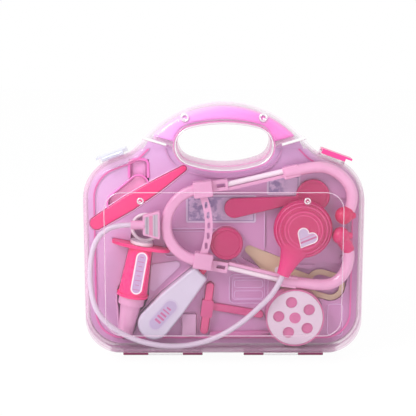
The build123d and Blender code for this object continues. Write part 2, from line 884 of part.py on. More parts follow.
def syringe_scale():
    inner = SlotOverall(scale_long - 2 * scale_border, scale_wide - 2 * scale_border)
    return extrude(scale_plane(scale_proud) * inner, amount=label_thick)


def plunger_rod():
    gap = finger_flange_thick / 2 + plunger_disc_gap
    top = -gap - plunger_disc_thick
    body = syringe_frame(top) * Cylinder(plunger_disc_r, plunger_disc_thick, align=UPRIGHT)
    body += syringe_frame(-gap - plunger_lap) * Cylinder(plunger_rod_r, plunger_long, align=UPRIGHT)
    centre = syringe_frame(-plunger_ring_rise, plunger_ring_side)
    ring = Rot(90, 0, 0) * Torus(plunger_ring_r, plunger_ring_thick)
    return body + centre * ring


def plunger_seal():
    start = plunger_long - finger_flange_thick / 2 - plunger_disc_gap - plunger_lap
    return syringe_frame(start) * Cylinder(seal_r, seal_thick, align=UPRIGHT)


def syringe_outline(grow=0.0):
    """Outline of the whole syringe, with room above for the plunger's disc."""
    a = radians(syringe_lean)
    low = barrel_long - lip_lap + lip_thick + nose_collar_long + nose_long
    x1 = syringe_x - sin(a) * barrel_long
    z1 = syringe_z - cos(a) * barrel_long
    x2 = syringe_x - sin(a) * low
    z2 = syringe_z - cos(a) * low
    face = hull((syringe_x, syringe_z, barrel_top_r), (x1, z1, barrel_low_r), grow=grow)
    face += hull((x1, z1, lip_r), (x2, z2, nose_tip_r), grow=grow)
    up = finger_flange_thick / 2 + plunger_disc_gap + plunger_disc_thick + plunger_travel
    start = (syringe_x, syringe_z, plunger_disc_r)
    end = (syringe_x + sin(a) * up, syringe_z + cos(a) * up, plunger_disc_r)
    face += hull(start, end, grow=grow)
    flange = Rectangle(finger_flange_long + 2 * grow, finger_flange_thick + 2 * grow)
    return face + turned(syringe_x, syringe_z, -syringe_lean, flange)


# ---- thermometer --------------------------------------------------------------------------


def thermo_outline(grow=0.0):
    circles = [(x + thermo_shift, z, r) for x, z, r in thermo_top + [thermo_mid, thermo_low]]
    return hull(*circles, grow=grow)


def thermometer_body():
    return pad(thermo_outline(), thermo_front, thermo_back, thermo_soft)


def thermometer_tip(body):
    (x0, z0, _), (x1, z1, _) = thermo_top
    x = (x0 + x1) / 2 + thermo_shift
    z = (z0 + z1) / 2
    y = (thermo_front + thermo_back) / 2
    dx = cos(radians(thermo_axis))
    dz = sin(radians(thermo_axis))
    out = probe_long + probe_root
    tip = rod((x, y, z), (x + dx * out, y, z + dz * out), probe_r, probe_r - probe_taper)
    return tip - body


def thermometer_label():
    spot = turned(thermo_label_x + thermo_shift, thermo_label_z, thermo_axis,
                  SlotOverall(thermo_label_long, thermo_label_wide))
    return slab(spot, thermo_front - label_thick, thermo_front)


# ---- flat toys ------------------------------------------------------------------------------


def scalpel_outline(grow=0.0):
    return hull(*scalpel_shape, grow=grow)


def scalpel():
    return pad(scalpel_outline(), scalpel_front, scalpel_back, toy_soft)


def mirror_paddle():
    x, z, r = paddle_head
    face = hull(*paddle_handle) + hull(paddle_handle[1], (x, z, paddle_neck_r)) + Pos(x, z) * Circle(r)
    body = pad(face, paddle_front, paddle_back, toy_soft)
    return body - slab(Pos(x, z) * Circle(r - paddle_rim), paddle_front, paddle_front + paddle_recess)


def tweezers():
    """Two thin arms joined at one end."""
    arms = hull(tweezer_root, tweezer_tips[0]) + hull(tweezer_root, tweezer_tips[1])
    return pad(arms, tweezer_front, tray_face - seat, tweezer_soft)


def hammer_head():
    return pad(hull(*hammer_head_shape), hammer_front, hammer_back, toy_soft)


def collar_outline(grow=0.0):
    (x0, z0, _), (x1, z1, _) = hammer_head_shape
    angle = degrees(atan2(z0 - z1, x0 - x1))
    collar = RectangleRounded(
        hammer_collar_long + 2 * grow, hammer_collar_wide + 2 * grow, hammer_collar_soft + grow
    )
    return turned((x0 + x1) / 2, (z0 + z1) / 2, angle, collar)


def hammer_outline(grow=0.0):
    head = hull(*hammer_head_shape, grow=grow)
    return head + hull(*hammer_handle_shape, grow=grow) + collar_outline(grow)


def hammer_handle(head):
    body = pad(hull(*hammer_handle_shape), handle_front, hammer_back, toy_soft)
    body += slab(collar_outline(), hammer_front - hammer_collar_proud, hammer_back)
    return body - head


def name_badge():
    return slab(hull(*badge_shape), tray_face - seat - badge_thick, tray_face - seat)


def pill_box_outline(grow=0.0):
    face = RectangleRounded(pill_box_wide + 2 * grow, pill_box_tall + 2 * grow, pill_box_soft + grow)
    return Pos(pill_box_x, pill_box_z) * face


def clear_pill_box():
    """Small clear box with three cross walls."""
    body = pad(pill_box_outline(), pill_box_front, pill_box_back, pill_box_edge)
    pitch = (pill_box_tall - pill_box_wall) / pill_box_cells
    for i in range(pill_box_cells):
        z = pill_box_z - pill_box_tall / 2 + pill_box_wall + pitch * i + (pitch - pill_box_wall) / 2
        cell = Pos(pill_box_x, z) * Rectangle(pill_box_wide - 2 * pill_box_wall, pitch - pill_box_wall)
        body -= slab(cell, pill_box_front + pill_box_wall, pill_box_back - pill_box_wall)
    return body


def card(corners):
    x0, z0, x1, z1 = corners
    face = Pos((x0 + x1) / 2, (z0 + z1) / 2) * RectangleRounded(x1 - x0, z1 - z0, card_corner_r)
    return slab(face, tray_face - card_gap - card_thick, tray_face - card_gap)


# ---- round toys -------------------------------------------------------------------------------


def jar_body():
    rim = cap_front + cap_top_thick + jar_rim_gap
    inner = jar_neck_r - jar_wall
    return spun(jar_x, jar_z, [
        (0, jar_back), (jar_r, jar_back), (jar_r, jar_shoulder), (jar_neck_r, jar_shoulder),
        (jar_neck_r, rim), (inner, rim), (inner, jar_back - jar_wall), (0, jar_back - jar_wall),
    ])


def jar_cap():
    inside = jar_neck_r + cap_gap
    f = cap_front
    return spun(jar_x, jar_z, [
        (0, f + cap_top_thick), (inside, f + cap_top_thick), (inside, jar_shoulder - cap_gap),
        (cap_r, jar_shoulder - cap_gap), (cap_r, f + cap_bevel), (cap_r - cap_bevel, f),
        (cap_r - cap_rim_wide, f), (cap_r - cap_rim_wide - cap_rim_step, f + cap_recess),
        (0, f + cap_recess),
    ])


def pill_wheel_box():
    """Round box whose floor shows through the disc's windows."""
    floor = wheel_front + disc_recess + disc_thick + disc_gap
    inside = wheel_r - wheel_rim
    hub = disc_hole_r - hub_clear
    return spun(wheel_x, wheel_z, [
        (0, wheel_back), (wheel_r - 1, wheel_back), (wheel_r, wheel_back - 1),
        (wheel_r, wheel_front), (inside, wheel_front), (inside, floor),
        (hub, floor), (hub, wheel_front + disc_recess), (0, wheel_front + disc_recess),
    ])


def pill_wheel_disc():
    face = Circle(wheel_r - wheel_rim - disc_gap) - Circle(disc_hole_r)
    for i in range(disc_holes):
        a = radians(disc_hole_start + 360 / disc_holes * i)
        face -= Pos(disc_hole_ring_r * cos(a), disc_hole_ring_r * sin(a)) * Circle(disc_hole_r)
    front = wheel_front + disc_recess
    return slab(Pos(wheel_x, wheel_z) * face, front, front + disc_thick)


def medicine_bottle():
    body = pad(hull(*bottle_shape), bottle_front, bottle_back, bottle_soft)
    neck = rod((bottle_cap_x, bottle_y, bottle_shape[0][1]),
               (bottle_cap_x, bottle_y, bottle_cap_low_z + bottle_neck_in), bottle_neck_r)
    return body + neck


def bottle_cap(bottle):
    low = (bottle_cap_x, bottle_y, bottle_cap_low_z + bottle_cap_lap)
    high = (bottle_cap_x, bottle_y, bottle_cap_high_z)
    body = rod(low, high, bottle_cap_r, bottle_cap_r - bottle_cap_taper)
    body = fillet(body.faces().sort_by(Axis.Z)[-1].edges(), bottle_cap_soft)
    return body - bottle


# ---- scissors -----------------------------------------------------------------------------------


def scissor_outline(loop, lean, grow=0.0):
    """One half: blade, shank and finger loop, seen from the front."""
    tip_x, tip_z, tip_r = blade_tip
    angle = atan2(tip_z - pivot_z, tip_x - pivot_x)
    off_x = -sin(angle) * blade_offset * lean
    off_z = cos(angle) * blade_offset * lean
    face = hull((tip_x, tip_z, tip_r), (pivot_x + off_x, pivot_z + off_z, blade_root_r), grow=grow)
    mid = ((loop[0][0] + loop[1][0]) / 2, (loop[0][1] + loop[1][1]) / 2)
    away = hypot(mid[0] - pivot_x, mid[1] - pivot_z)
    near = (away - loop_r) / away
    joint = (pivot_x + (mid[0] - pivot_x) * near, pivot_z + (mid[1] - pivot_z) * near, shank_r)
    face += hull((pivot_x, pivot_z, shank_r + pivot_rim), joint, grow=grow)
    return face + hull(*[(x, z, loop_r) for x, z in loop], grow=grow)


def scissors_half(loop, lean, front):
    face = scissor_outline(loop, lean) - hull(*[(x, z, loop_r - loop_ring) for x, z in loop])
    return slab(face, front, front + scissor_thick)


def scissors_pin():
    back = scissor_front + 2 * scissor_thick + scissor_gap
    face = Pos(pivot_x, pivot_z) * Circle(scissor_pin_r)
    head = Pos(pivot_x, pivot_z) * Circle(scissor_pin_r + pivot_rim)
    seat_y = scissor_front - scissor_gap
    return slab(face, seat_y, back) + slab(head, seat_y - pin_head_thick, seat_y)


def scissors_outline(grow=0.0):
    """Both halves, with room for the moving one to swing."""
    face = scissor_outline(low_loop, 1, grow) + scissor_outline(right_loop, -1, grow)
    for turn in (scissor_swing / 2, scissor_swing):
        swung = scissor_outline(right_loop, -1, grow)
        face += Pos(pivot_x, pivot_z) * Rot(0, 0, turn) * Pos(-pivot_x, -pivot_z) * swung
    return face


# ---- tray -------------------------------------------------------------------------------------------


def tray_outline(inset):
    low = Pos(0, tray_top_z / 2) * Rectangle(4 * half_width, tray_top_z)
    return (case_outline(-inset) & low) - hole_outline(tray_hole_margin + inset - wall)


def jar_outline(grow=0.0):
    return Pos(jar_x, jar_z) * Circle(jar_r + grow)


def wheel_outline(grow=0.0):
    return Pos(wheel_x, wheel_z) * Circle(wheel_r + grow)


def bottle_outline(grow=0.0):
    tall = bottle_cap_high_z - bottle_shape[0][1]
    cap = Rectangle(2 * (bottle_cap_r + grow), tall + grow, align=(Align.CENTER, Align.MIN))
    return hull(*bottle_shape, grow=grow) + Pos(bottle_cap_x, bottle_shape[0][1]) * cap


def recess_outline(corners):
    x0, z0, x1, z1 = corners
    return Pos((x0 + x1) / 2, (z0 + z1) / 2) * RectangleRounded(x1 - x0, z1 - z0, recess_corner)


# Each pocket follows the outline of the piece that lies in it, down to a depth.
pockets = [
    (syringe_outline, syringe_y + lip_r),
    (thermo_outline, thermo_back),
    (scalpel_outline, scalpel_back),
    (hammer_outline, hammer_back),
    (pill_box_outline, pill_box_back),
    (jar_outline, jar_back),
    (wheel_outline, wheel_back),
    (bottle_outline, bottle_y + bottle_cap_r),
    (scissors_outline, scissor_front + 2 * scissor_thick + scissor_gap),
]


def seats():
    """Raised seats under the pieces that lie above the sheet: x, z, radius, top."""
    return [
        (chest_x, chest_z, 9.0, chest_back + diaphragm_thick + seat),
        (yoke_x - yoke_r, yoke_z - 14, 4.2, yoke_y + yoke_deep / 2 + seat),
        (yoke_x + 3, yoke_z + yoke_r, 5.0, yoke_y + socket_deep / 2 + seat),
        (yoke_x - 6, yoke_z - yoke_r, 5.0, yoke_y + socket_deep / 2 + seat),
        (upper_seat_x, upper_seat_z, 4.0, ear_tube_y + ear_tube_r + seat),
        (lower_seat_x, lower_seat_z, 4.0, ear_tube_y + ear_tube_r + seat),
    ]


def seat_towers(grow=0.0):
    return Part() + [
        slab(Pos(x, z) * Circle(radius + grow), top, tray_face + recess_deep)
        for x, z, radius, top in seats()
    ]


def blister_tray():
    """Thin sheet with a skirt, pockets that follow the toys and raised seats."""
    outline = tray_outline(wall + tray_inset)
    body = slab(outline, tray_face, tray_face + tray_sheet)
    floor = shell_depth - emboss - wall - seat
    ring = tray_outline(skirt_inset) - tray_outline(skirt_inset + tray_sheet)
    skirt = slab(ring, tray_face, floor)
    body += skirt
    cuts = []
    for corners in recesses:
        inner = recess_outline(corners)
        outer = offset(inner, amount=tray_sheet) & outline
        body += slab(outer, tray_face, tray_face + recess_deep + tray_sheet)
        cuts.append(slab(inner, tray_face - tray_sheet, tray_face + recess_deep))
    for shape, back in pockets:
        body += slab(shape(pocket_clear + tray_sheet) & outline, tray_face, back + seat + tray_sheet)
        cuts.append(slab(shape(pocket_clear), tray_face - tray_sheet, back + seat))
    for cut in cuts:
        body -= cut
    body += seat_towers()
    for x, z, radius, top in seats():
        core = Pos(x, z) * Circle(radius - tray_sheet)
        body -= slab(core, top + tray_sheet, tray_face + recess_deep + tray_sheet) - skirt
    return body


def tray_rim(towers):
    """Bright bead that runs round the tray, inside the case's wall."""
    ring = tray_outline(skirt_inset) - tray_outline(skirt_inset + rim_wide)
    bead = slab(ring, tray_face - rim_high, tray_face)
    toys = scalpel_outline(pocket_clear) + thermo_outline(pocket_clear) + wheel_outline(pocket_clear)
    return bead - towers - slab(toys, tray_face - rim_high, tray_face)


# ---- assembly ------------------------------------------------------------------------------------------


def build():
    half = common_half()
    yoke = headset_yoke()
    sockets = {side: socket(side, yoke) for side in (1, -1)}
    tubes = {side: ear_tube(side) for side in (1, -1)}
    head = hammer_head()
    thermo = thermometer_body()
    bottle = medicine_bottle()
    pin = scissors_pin()
    blocks = sockets[1] + sockets[-1] + tubes[1] + tubes[-1]
    return {
        "front_cover": front_cover(half),
        "rear_shell": rear_shell(half),
        "hinge_pins": pin_holes(0.0),
        "right_latch": right_latch_body(),
        "left_latch": Rot(0, 0, 180) * right_latch_body(),
        "right_latch_pin": right_pin_body(),
        "left_latch_pin": Rot(0, 0, 180) * right_pin_body(),
        "handle_grip": handle_grip(),
        "blister_tray": blister_tray(),
        "tray_rim": tray_rim(seat_towers(pocket_clear)),
        "wide_card": card(wide_card),
        "tall_card": card(tall_card),
        "headset_yoke": yoke,
        "upper_socket": sockets[1],
        "lower_socket": sockets[-1],
        "upper_ear_rod": ear_rod(1, blocks),
        "lower_ear_rod": ear_rod(-1, blocks),
        "upper_ear_rail": ear_rail(1, blocks),
        "lower_ear_rail": ear_rail(-1, blocks),
        "upper_ear_tube": tubes[1],
        "lower_ear_tube": tubes[-1],
        "upper_ear_tip": ear_tip(1, tubes[1]),
        "lower_ear_tip": ear_tip(-1, tubes[-1]),
        "adjusting_strap": adjusting_strap(blocks),
        "label_holder": label_holder(yoke),
        "holder_label": holder_label(),
        "chest_piece": chest_piece(),
        "chest_diaphragm": chest_diaphragm(),
        "heart_badge": heart_badge(),
        "hose": hose(),
        "syringe_barrel": syringe_barrel(),
        "syringe_nose": syringe_nose(),
        "syringe_scale": syringe_scale(),
        "plunger_rod": plunger_rod(),
        "plunger_seal": plunger_seal(),
        "thermometer_body": thermo,
        "thermometer_tip": thermometer_tip(thermo),
        "thermometer_label": thermometer_label(),
        "scalpel": scalpel(),
        "mirror_paddle": mirror_paddle(),
        "hammer_head": head,
        "hammer_handle": hammer_handle(head),
        "tweezers": tweezers(),
        "name_badge": name_badge(),
        "clear_pill_box": clear_pill_box(),
        "jar_body": jar_body(),
        "jar_cap": jar_cap(),
        "pill_wheel_box": pill_wheel_box(),
        "pill_wheel_disc": pill_wheel_disc(),
        "medicine_bottle": bottle,
        "bottle_cap": bottle_cap(bottle),
        "scissors_fixed_half": scissors_half(low_loop, 1, scissor_front + scissor_thick + scissor_gap) - pin,
        "scissors_moving_half": scissors_half(right_loop, -1, scissor_front)
        - slab(Pos(pivot_x, pivot_z) * Circle(scissor_pin_r + pin_clear), 0, shell_depth),
        "scissors_pin": pin,
    }


os.makedirs("parts", exist_ok=True)
for name, solid in build().items():
    export_step(solid, f"parts/{name}.step")
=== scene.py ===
"""Looks for the toy doctor case: materials, hose, labels, trims, light and camera.

Places on the case are in millimetres, as in the part's own frame: X to the right, Y from the cover to the
back and Z up. MM turns them into metres where a mesh, a curve or a shader takes them. The camera, the lamps
and the floor are placed in metres.
"""

import json
import math

import bmesh
import bpy
from mathutils import Matrix, Vector


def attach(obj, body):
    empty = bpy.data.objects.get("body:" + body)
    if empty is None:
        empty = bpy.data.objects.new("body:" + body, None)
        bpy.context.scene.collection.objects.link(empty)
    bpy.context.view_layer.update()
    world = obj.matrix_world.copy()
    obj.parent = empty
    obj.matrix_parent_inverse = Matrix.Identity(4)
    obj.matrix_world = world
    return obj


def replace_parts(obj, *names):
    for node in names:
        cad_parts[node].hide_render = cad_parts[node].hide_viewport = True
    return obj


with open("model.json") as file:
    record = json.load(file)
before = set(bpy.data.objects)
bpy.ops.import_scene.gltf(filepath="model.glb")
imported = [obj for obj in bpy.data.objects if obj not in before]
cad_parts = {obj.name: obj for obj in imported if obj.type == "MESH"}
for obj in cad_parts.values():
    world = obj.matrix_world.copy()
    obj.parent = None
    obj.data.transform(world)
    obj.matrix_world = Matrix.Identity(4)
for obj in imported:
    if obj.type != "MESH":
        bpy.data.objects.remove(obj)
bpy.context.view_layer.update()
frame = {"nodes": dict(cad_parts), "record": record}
scene = bpy.context.scene
scene.view_settings.view_transform = "Standard"
MM = 0.001

# ---- camera ------------------------------------------------------------------
camera_data = bpy.data.cameras.new("camera")
camera_data.sensor_width = 36.0
camera_data.lens = 89.4
camera = bpy.data.objects.new("camera", camera_data)
camera.location = (-0.015, -0.9839, 0.3272)
camera.rotation_euler = (math.radians(79.7), 0.0, 0.0)
scene.collection.objects.link(camera)
scene.camera = camera

# ---- sizes that several sections share ------------------------------------------
ARCH_Z = 151.7                     # centre of the handle's arch
ARCH_R = 98.0
HOLE_HIGH = (107.6, 125.0)         # height of the centre and radius of the hole's upper arc
HOLE_LOW = (290.3, 100.0)          # and of its lower arc
HOLE_END = (27.6, 212.0, 17.0)     # x, z and radius of the hole's rounded end
HOLE_TURN = 32.5                   # x where the long arcs give way to the rounded end
RIB = (62.5, 215.8, math.tan(math.radians(16.5)))    # x, z and slope of the rib beside the handle
KNUCKLE_TOP = (9.0, 9.6)           # heights between which the knuckles give way to the bottom wall
SOLE_TOP = (11.2, 12.8)            # heights between which the bottom wall gives way to the front
ARCH_WALL = (ARCH_R - 5.5, ARCH_R - 3.5)     # reach at which the arch's outer wall begins
ARCH_FOOT = (200.0, 212.0)         # heights between which the arch begins
TRAY_Y = 1.0                       # front face of the tray's sheet
STEP_Y = TRAY_Y + 1.6              # floor of its shallow recesses
TUBE_Y = -9.0                      # centre of the ear tubes
HOSE_Y = -19.0                     # centre of the hose


# ---- colours ------------------------------------------------------------------
def srgb(r, g, b):
    """Colour as the eye reads it, 0 to 255, in linear numbers."""
    def linear(v):
        v /= 255.0
        return v / 12.92 if v <= 0.04045 else ((v + 0.055) / 1.055) ** 2.4
    return (linear(r), linear(g), linear(b))


def shade(colour, factor):
    return tuple(min(1.0, c * factor) for c in colour)


HOT = srgb(218, 14, 100)
HOT_LIGHT = srgb(244, 40, 126)
HOT_DEEP = srgb(190, 10, 98)
BELL_PINK = srgb(196, 8, 98)
PALE_PINK = srgb(226, 160, 200)
WHITE = srgb(238, 220, 232)
WARM_WHITE = srgb(250, 232, 242)
BEIGE = srgb(214, 184, 154)
PEARL = srgb(212, 202, 222)
TRAY = srgb(197, 134, 184)
GRIP = srgb(255, 140, 222)
MAGENTA = srgb(178, 52, 116)
LABEL = srgb(206, 190, 214)
INK = srgb(196, 92, 150)


# ---- shader nodes ---------------------------------------------------------------
class Nodes:
    """Small helper round one material's node tree."""

    def __init__(self, name, colour, roughness, **sockets):
        self.material = bpy.data.materials.new(name)
        self.material.use_nodes = True
        self.tree = self.material.node_tree
        self.shader = self.tree.nodes["Principled BSDF"]
        self.material.diffuse_color = (*colour, 1.0)
        self.set("Base Color", (*colour, 1.0))
        self.set("Roughness", roughness)
        for key, value in sockets.items():
            self.set(key.replace("_", " "), value)

    def set(self, socket, value):
        self.shader.inputs[socket].default_value = value

    def add(self, kind, inputs=None, **fields):
        """New node: each input takes a socket, which is linked, or a plain value."""
        node = self.tree.nodes.new(kind)
        for key, value in fields.items():
            setattr(node, key, value)
        for key, value in (inputs or {}).items():
            if isinstance(value, bpy.types.NodeSocket):
                self.tree.links.new(value, node.inputs[key])
            else:
                node.inputs[key].default_value = value
        return node

    def link(self, output, socket):
        self.tree.links.new(output, self.shader.inputs[socket])

    def coords(self):
        return self.add("ShaderNodeTexCoord").outputs["Object"]

    def axis(self, letter):
        """Place of the shaded point along X, Y or Z, in metres."""
        return self.add("ShaderNodeSeparateXYZ", {0: self.coords()}).outputs[letter]

    def facing(self):
        """0 where the surface faces the eye, towards 1 where it turns away."""
        return self.add("ShaderNodeLayerWeight", {"Blend": 0.42}).outputs["Facing"]

    def noise(self, scale, detail=2.0, roughness=0.5, vector=None):
        return self.add(
            "ShaderNodeTexNoise",
            {"Vector": vector or self.coords(), "Scale": scale, "Detail": detail, "Roughness": roughness},
        ).outputs["Fac"]

    def span(self, value, low, high, to_low=0.0, to_high=1.0):
        """Value carried from the range low to high to the range to_low to to_high, and held there."""
        return self.add("ShaderNodeMapRange", {"Value": value, "From Min": low, "From Max": high,
                                               "To Min": to_low, "To Max": to_high}).outputs["Result"]

    def fade(self, value, start, end, top=1.0):
        """0 where the value is at start, rising to top at end, both in millimetres."""
        return self.span(value, start * MM, end * MM, 0.0, top)

    def ramp(self, factor, stops):
        """Colour ramp between two stops."""
        node = self.add("ShaderNodeValToRGB", {"Fac": factor})
        for element, (at, colour) in zip(node.color_ramp.elements, stops):
            element.position = at
            element.color = (*colour, 1.0)
        return node.outputs["Color"]

    def math(self, operation, a, b=0.0, c=0.0):
        return self.add("ShaderNodeMath", {0: a, 1: b, 2: c}, operation=operation).outputs[0]

    def vector(self, operation, a, b=(0.0, 0.0, 0.0)):
        return self.add("ShaderNodeVectorMath", {0: a, 1: b}, operation=operation)

    def mix(self, factor, a, b):
        """Mix two colours, each a socket or a plain colour."""
        a = a if isinstance(a, bpy.types.NodeSocket) else (*a, 1.0)
        b = b if isinstance(b, bpy.types.NodeSocket) else (*b, 1.0)
        return self.add("ShaderNodeMix", {0: factor, 6: a, 7: b}, data_type="RGBA").outputs[2]

    def gloss(self, scale, detail, low, high):
        """Uneven roughness between low and high."""
        self.link(self.span(self.noise(scale, detail), 0.0, 1.0, low, high), "Roughness")

    def bump(self, height, strength, distance):
        node = self.add("ShaderNodeBump", {"Height": height, "Strength": strength, "Distance": distance})
        self.link(node.outputs["Normal"], "Normal")


def arch_share(m):
    """1 on the outer wall of the handle's arch, 0 elsewhere."""
    flat = m.vector("MULTIPLY", m.coords(), (1.0, 0.0, 1.0)).outputs[0]
    moved = m.vector("SUBTRACT", flat, (0.0, 0.0, ARCH_Z * MM)).outputs[0]
    reach = m.vector("LENGTH", moved).outputs["Value"]
    return m.math("MULTIPLY", m.fade(reach, *ARCH_WALL), m.fade(m.axis("Z"), *ARCH_FOOT))


def along(m, centre, direction):
    """Distance along a direction from a centre in millimetres, as a socket in metres."""
    unit = Vector(direction).normalized()
    moved = m.vector("SUBTRACT", m.coords(), tuple(Vector(centre) * MM)).outputs[0]
    return m.vector("DOT_PRODUCT", moved, tuple(unit)).outputs["Value"]


def band(m, value, low, high):
    """1 between low and high in millimetres, else 0, with a soft step."""
    soft = 0.12
    up = m.fade(value, low - soft, low + soft)
    down = m.fade(value, high + soft, high - soft)
    return m.math("MULTIPLY", up, down)


# ---- materials ------------------------------------------------------------------
def moulded(name, colour, roughness=0.3, coat=0.15, grain=0.25):
    """Injection-moulded plastic: slight colour drift, uneven gloss and a fine grain."""
    m = Nodes(name, colour, roughness, Coat_Weight=coat, Coat_Roughness=0.12)
    drift = 0.06
    broad = m.noise(14.0, detail=3.0)
    m.link(m.ramp(broad, [(0.3, shade(colour, 1 - drift)), (0.7, shade(colour, 1 + drift))]), "Base Color")
    m.gloss(60.0, 5.0, roughness - 0.06, roughness + 0.1)
    m.bump(m.noise(900.0, detail=4.0), grain, 0.00004)
    return m.material


def clear(name, tint, alpha_face, alpha_edge, roughness, metallic, scuff_and_glint=0.5, foot=None, edge=None):
    """Thin clear plastic: a faint glossy skin face-on, milky where it turns away, with fine whitish rub
    streaks that are partly painted reflection streaks.

    With a foot colour it is the cover: paler over the handle's arch, where the near-white tint is painted
    light, and denser along its sole, where the foot colour is painted shade.
    """
    m = Nodes(name, tint, roughness, Metallic=metallic)
    facing = m.facing()
    haze = m.span(facing, 0.0, 1.0, alpha_face, alpha_edge)
    # Fine whitish streaks in the skin: rub marks, and partly painted reflections of streaks of light.
    turned = m.add("ShaderNodeMapping", {"Vector": m.coords(), "Rotation": (0.0, 0.6, 0.0),
                                         "Scale": (1.0, 1.0, 0.05)}).outputs["Vector"]
    rubs_and_glints = m.span(m.noise(260.0, detail=6.0, roughness=0.7, vector=turned), 0.66, 0.78, 0.0, 0.16 * scuff_and_glint)
    flow = m.span(m.noise(7.0), 0.35, 0.7, 0.0, 0.03 * scuff_and_glint)
    total = m.math("ADD", m.math("ADD", haze, rubs_and_glints), flow)
    colour = m.mix(facing, tint, edge or shade(tint, 0.96))
    if foot:
        # Over the arch the colour turns near-white, which is painted light, and the skin is half as dense
        # there.
        arch = arch_share(m)
        colour = m.mix(arch, colour, srgb(255, 240, 254))
        total = m.math("MULTIPLY", total, m.math("MULTIPLY_ADD", arch, -0.5, 1.0))
        # Along the sole the skin thickens and takes the darker mauve foot colour: painted shade from under
        # the case.
        height = m.axis("Z")
        below = m.fade(height, SOLE_TOP[1], SOLE_TOP[0])
        above = m.fade(height, KNUCKLE_TOP[0], KNUCKLE_TOP[1])
        sole = m.math("MULTIPLY", below, above)
        total = m.math("MAXIMUM", total, m.math("MULTIPLY", sole, 0.78))
        colour = m.mix(sole, colour, foot)
    m.link(colour, "Base Color")
    m.link(total, "Alpha")
    m.bump(m.noise(16.0), 0.1, 0.0012)
    return m.material


def rear_plastic(name, tint, knuckle):
    """Pale see-through pink, solid and darker where the moulding thickens into the hinge knuckles, with
    painted light over the handle's arch and painted shade low down.
    """
    m = Nodes(name, tint, 0.16, Coat_Weight=0.2)
    height = m.axis("Z")
    low = m.fade(height, KNUCKLE_TOP[1], KNUCKLE_TOP[0])
    haze = m.span(m.facing(), 0.0, 1.0, 0.3, 0.8)
    arch = arch_share(m)
    thin = m.math("MULTIPLY", haze, m.math("MULTIPLY_ADD", arch, -0.55, 1.0))
    m.link(m.math("MAXIMUM", thin, low), "Alpha")
    cloud = m.mix(m.noise(10.0, detail=3.0), shade(tint, 0.93), shade(tint, 1.04))
    # Near-white over the handle's arch: painted light.
    cloud = m.mix(arch, cloud, srgb(255, 226, 250))
    # Darker mauve from 50 mm down to 14 mm: painted shade towards the bottom.
    cloud = m.mix(m.fade(height, 50.0, 14.0), cloud, srgb(196, 128, 172))
    m.link(m.mix(low, cloud, knuckle), "Base Color")
    m.bump(m.noise(26.0), 0.12, 0.0008)
    return m.material


def tray_sheet(name, colour):
    """Vacuum-formed sheet: glossy and faintly rippled, darker low down and lighter high up as painted shade
    and light, paler on its left as painted light, and lilac near its top edge.
    """
    m = Nodes(name, colour, 0.3, Coat_Weight=0.25, Coat_Roughness=0.1)
    height = m.axis("Z")
    # Darker low down and lighter high up: painted shade and painted light.
    rise = m.fade(height, 20.0, 200.0)
    tone = m.mix(rise, shade(colour, 0.93), shade(colour, 1.06))
    # Paler towards the left end, more so higher up: painted light.
    left = m.fade(m.axis("X"), -60.0, -130.0)
    pale = m.math("MULTIPLY", left, m.math("MULTIPLY_ADD", rise, 0.6, 0.2))
    tone = m.mix(pale, tone, srgb(236, 196, 242))
    tone = m.mix(m.fade(height, 165.0, 200.0, top=0.7), tone, srgb(214, 176, 224))
    cloud = m.math("MULTIPLY", m.noise(11.0, detail=4.0), 0.22)
    m.link(m.mix(cloud, tone, srgb(236, 150, 206)), "Base Color")
    m.gloss(45.0, 4.0, 0.22, 0.4)
    m.bump(m.noise(24.0, detail=3.0), 0.2, 0.0012)
    return m.material


def rim_bead(name, colour, quiet):
    """Bright bead of the tray, which fades into the sheet's tone round the handle hole."""
    m = Nodes(name, colour, 0.3, Coat_Weight=0.2, Coat_Roughness=0.12)
    high = m.fade(m.axis("Z"), 165.0, 175.0)
    near = m.fade(m.math("ABSOLUTE", m.axis("X")), 62.0, 56.0)
    share = m.math("MULTIPLY", m.math("MULTIPLY", high, near), 0.9)
    bright = m.mix(m.noise(20.0), shade(colour, 0.92), colour)
    m.link(m.mix(share, bright, quiet), "Base Color")
    m.bump(m.noise(900.0, detail=3.0), 0.2, 0.00004)
    return m.material


def bell_plastic(name, colour):
    """Deep rose plastic of the chest piece, lighter where the light comes through its neck."""
    m = Nodes(name, colour, 0.24, Coat_Weight=0.3, Coat_Roughness=0.08)
    neck = m.fade(m.axis("Z"), 120.0, 98.0)
    cloud = m.mix(m.noise(18.0, detail=3.0), shade(colour, 0.94), shade(colour, 1.08))
    m.link(m.mix(neck, cloud, srgb(228, 30, 124)), "Base Color")
    m.gloss(50.0, 5.0, 0.18, 0.32)
    m.bump(m.noise(30.0), 0.1, 0.0008)
    return m.material


def grip_plastic(name):
    """Pink plastic with flow marks, paler towards the left end as painted light."""
    m = Nodes(name, GRIP, 0.3, Coat_Weight=0.2, Coat_Roughness=0.12)
    # Paler towards the left end: painted light.
    tone = m.mix(m.fade(m.axis("X"), -70.0, 70.0), srgb(255, 176, 255), srgb(255, 112, 208))
    marks = m.math("MULTIPLY", m.noise(30.0, detail=3.0), 0.25)
    m.link(m.mix(marks, tone, srgb(255, 200, 244)), "Base Color")
    m.bump(m.noise(800.0, detail=3.0), 0.2, 0.00004)
    return m.material


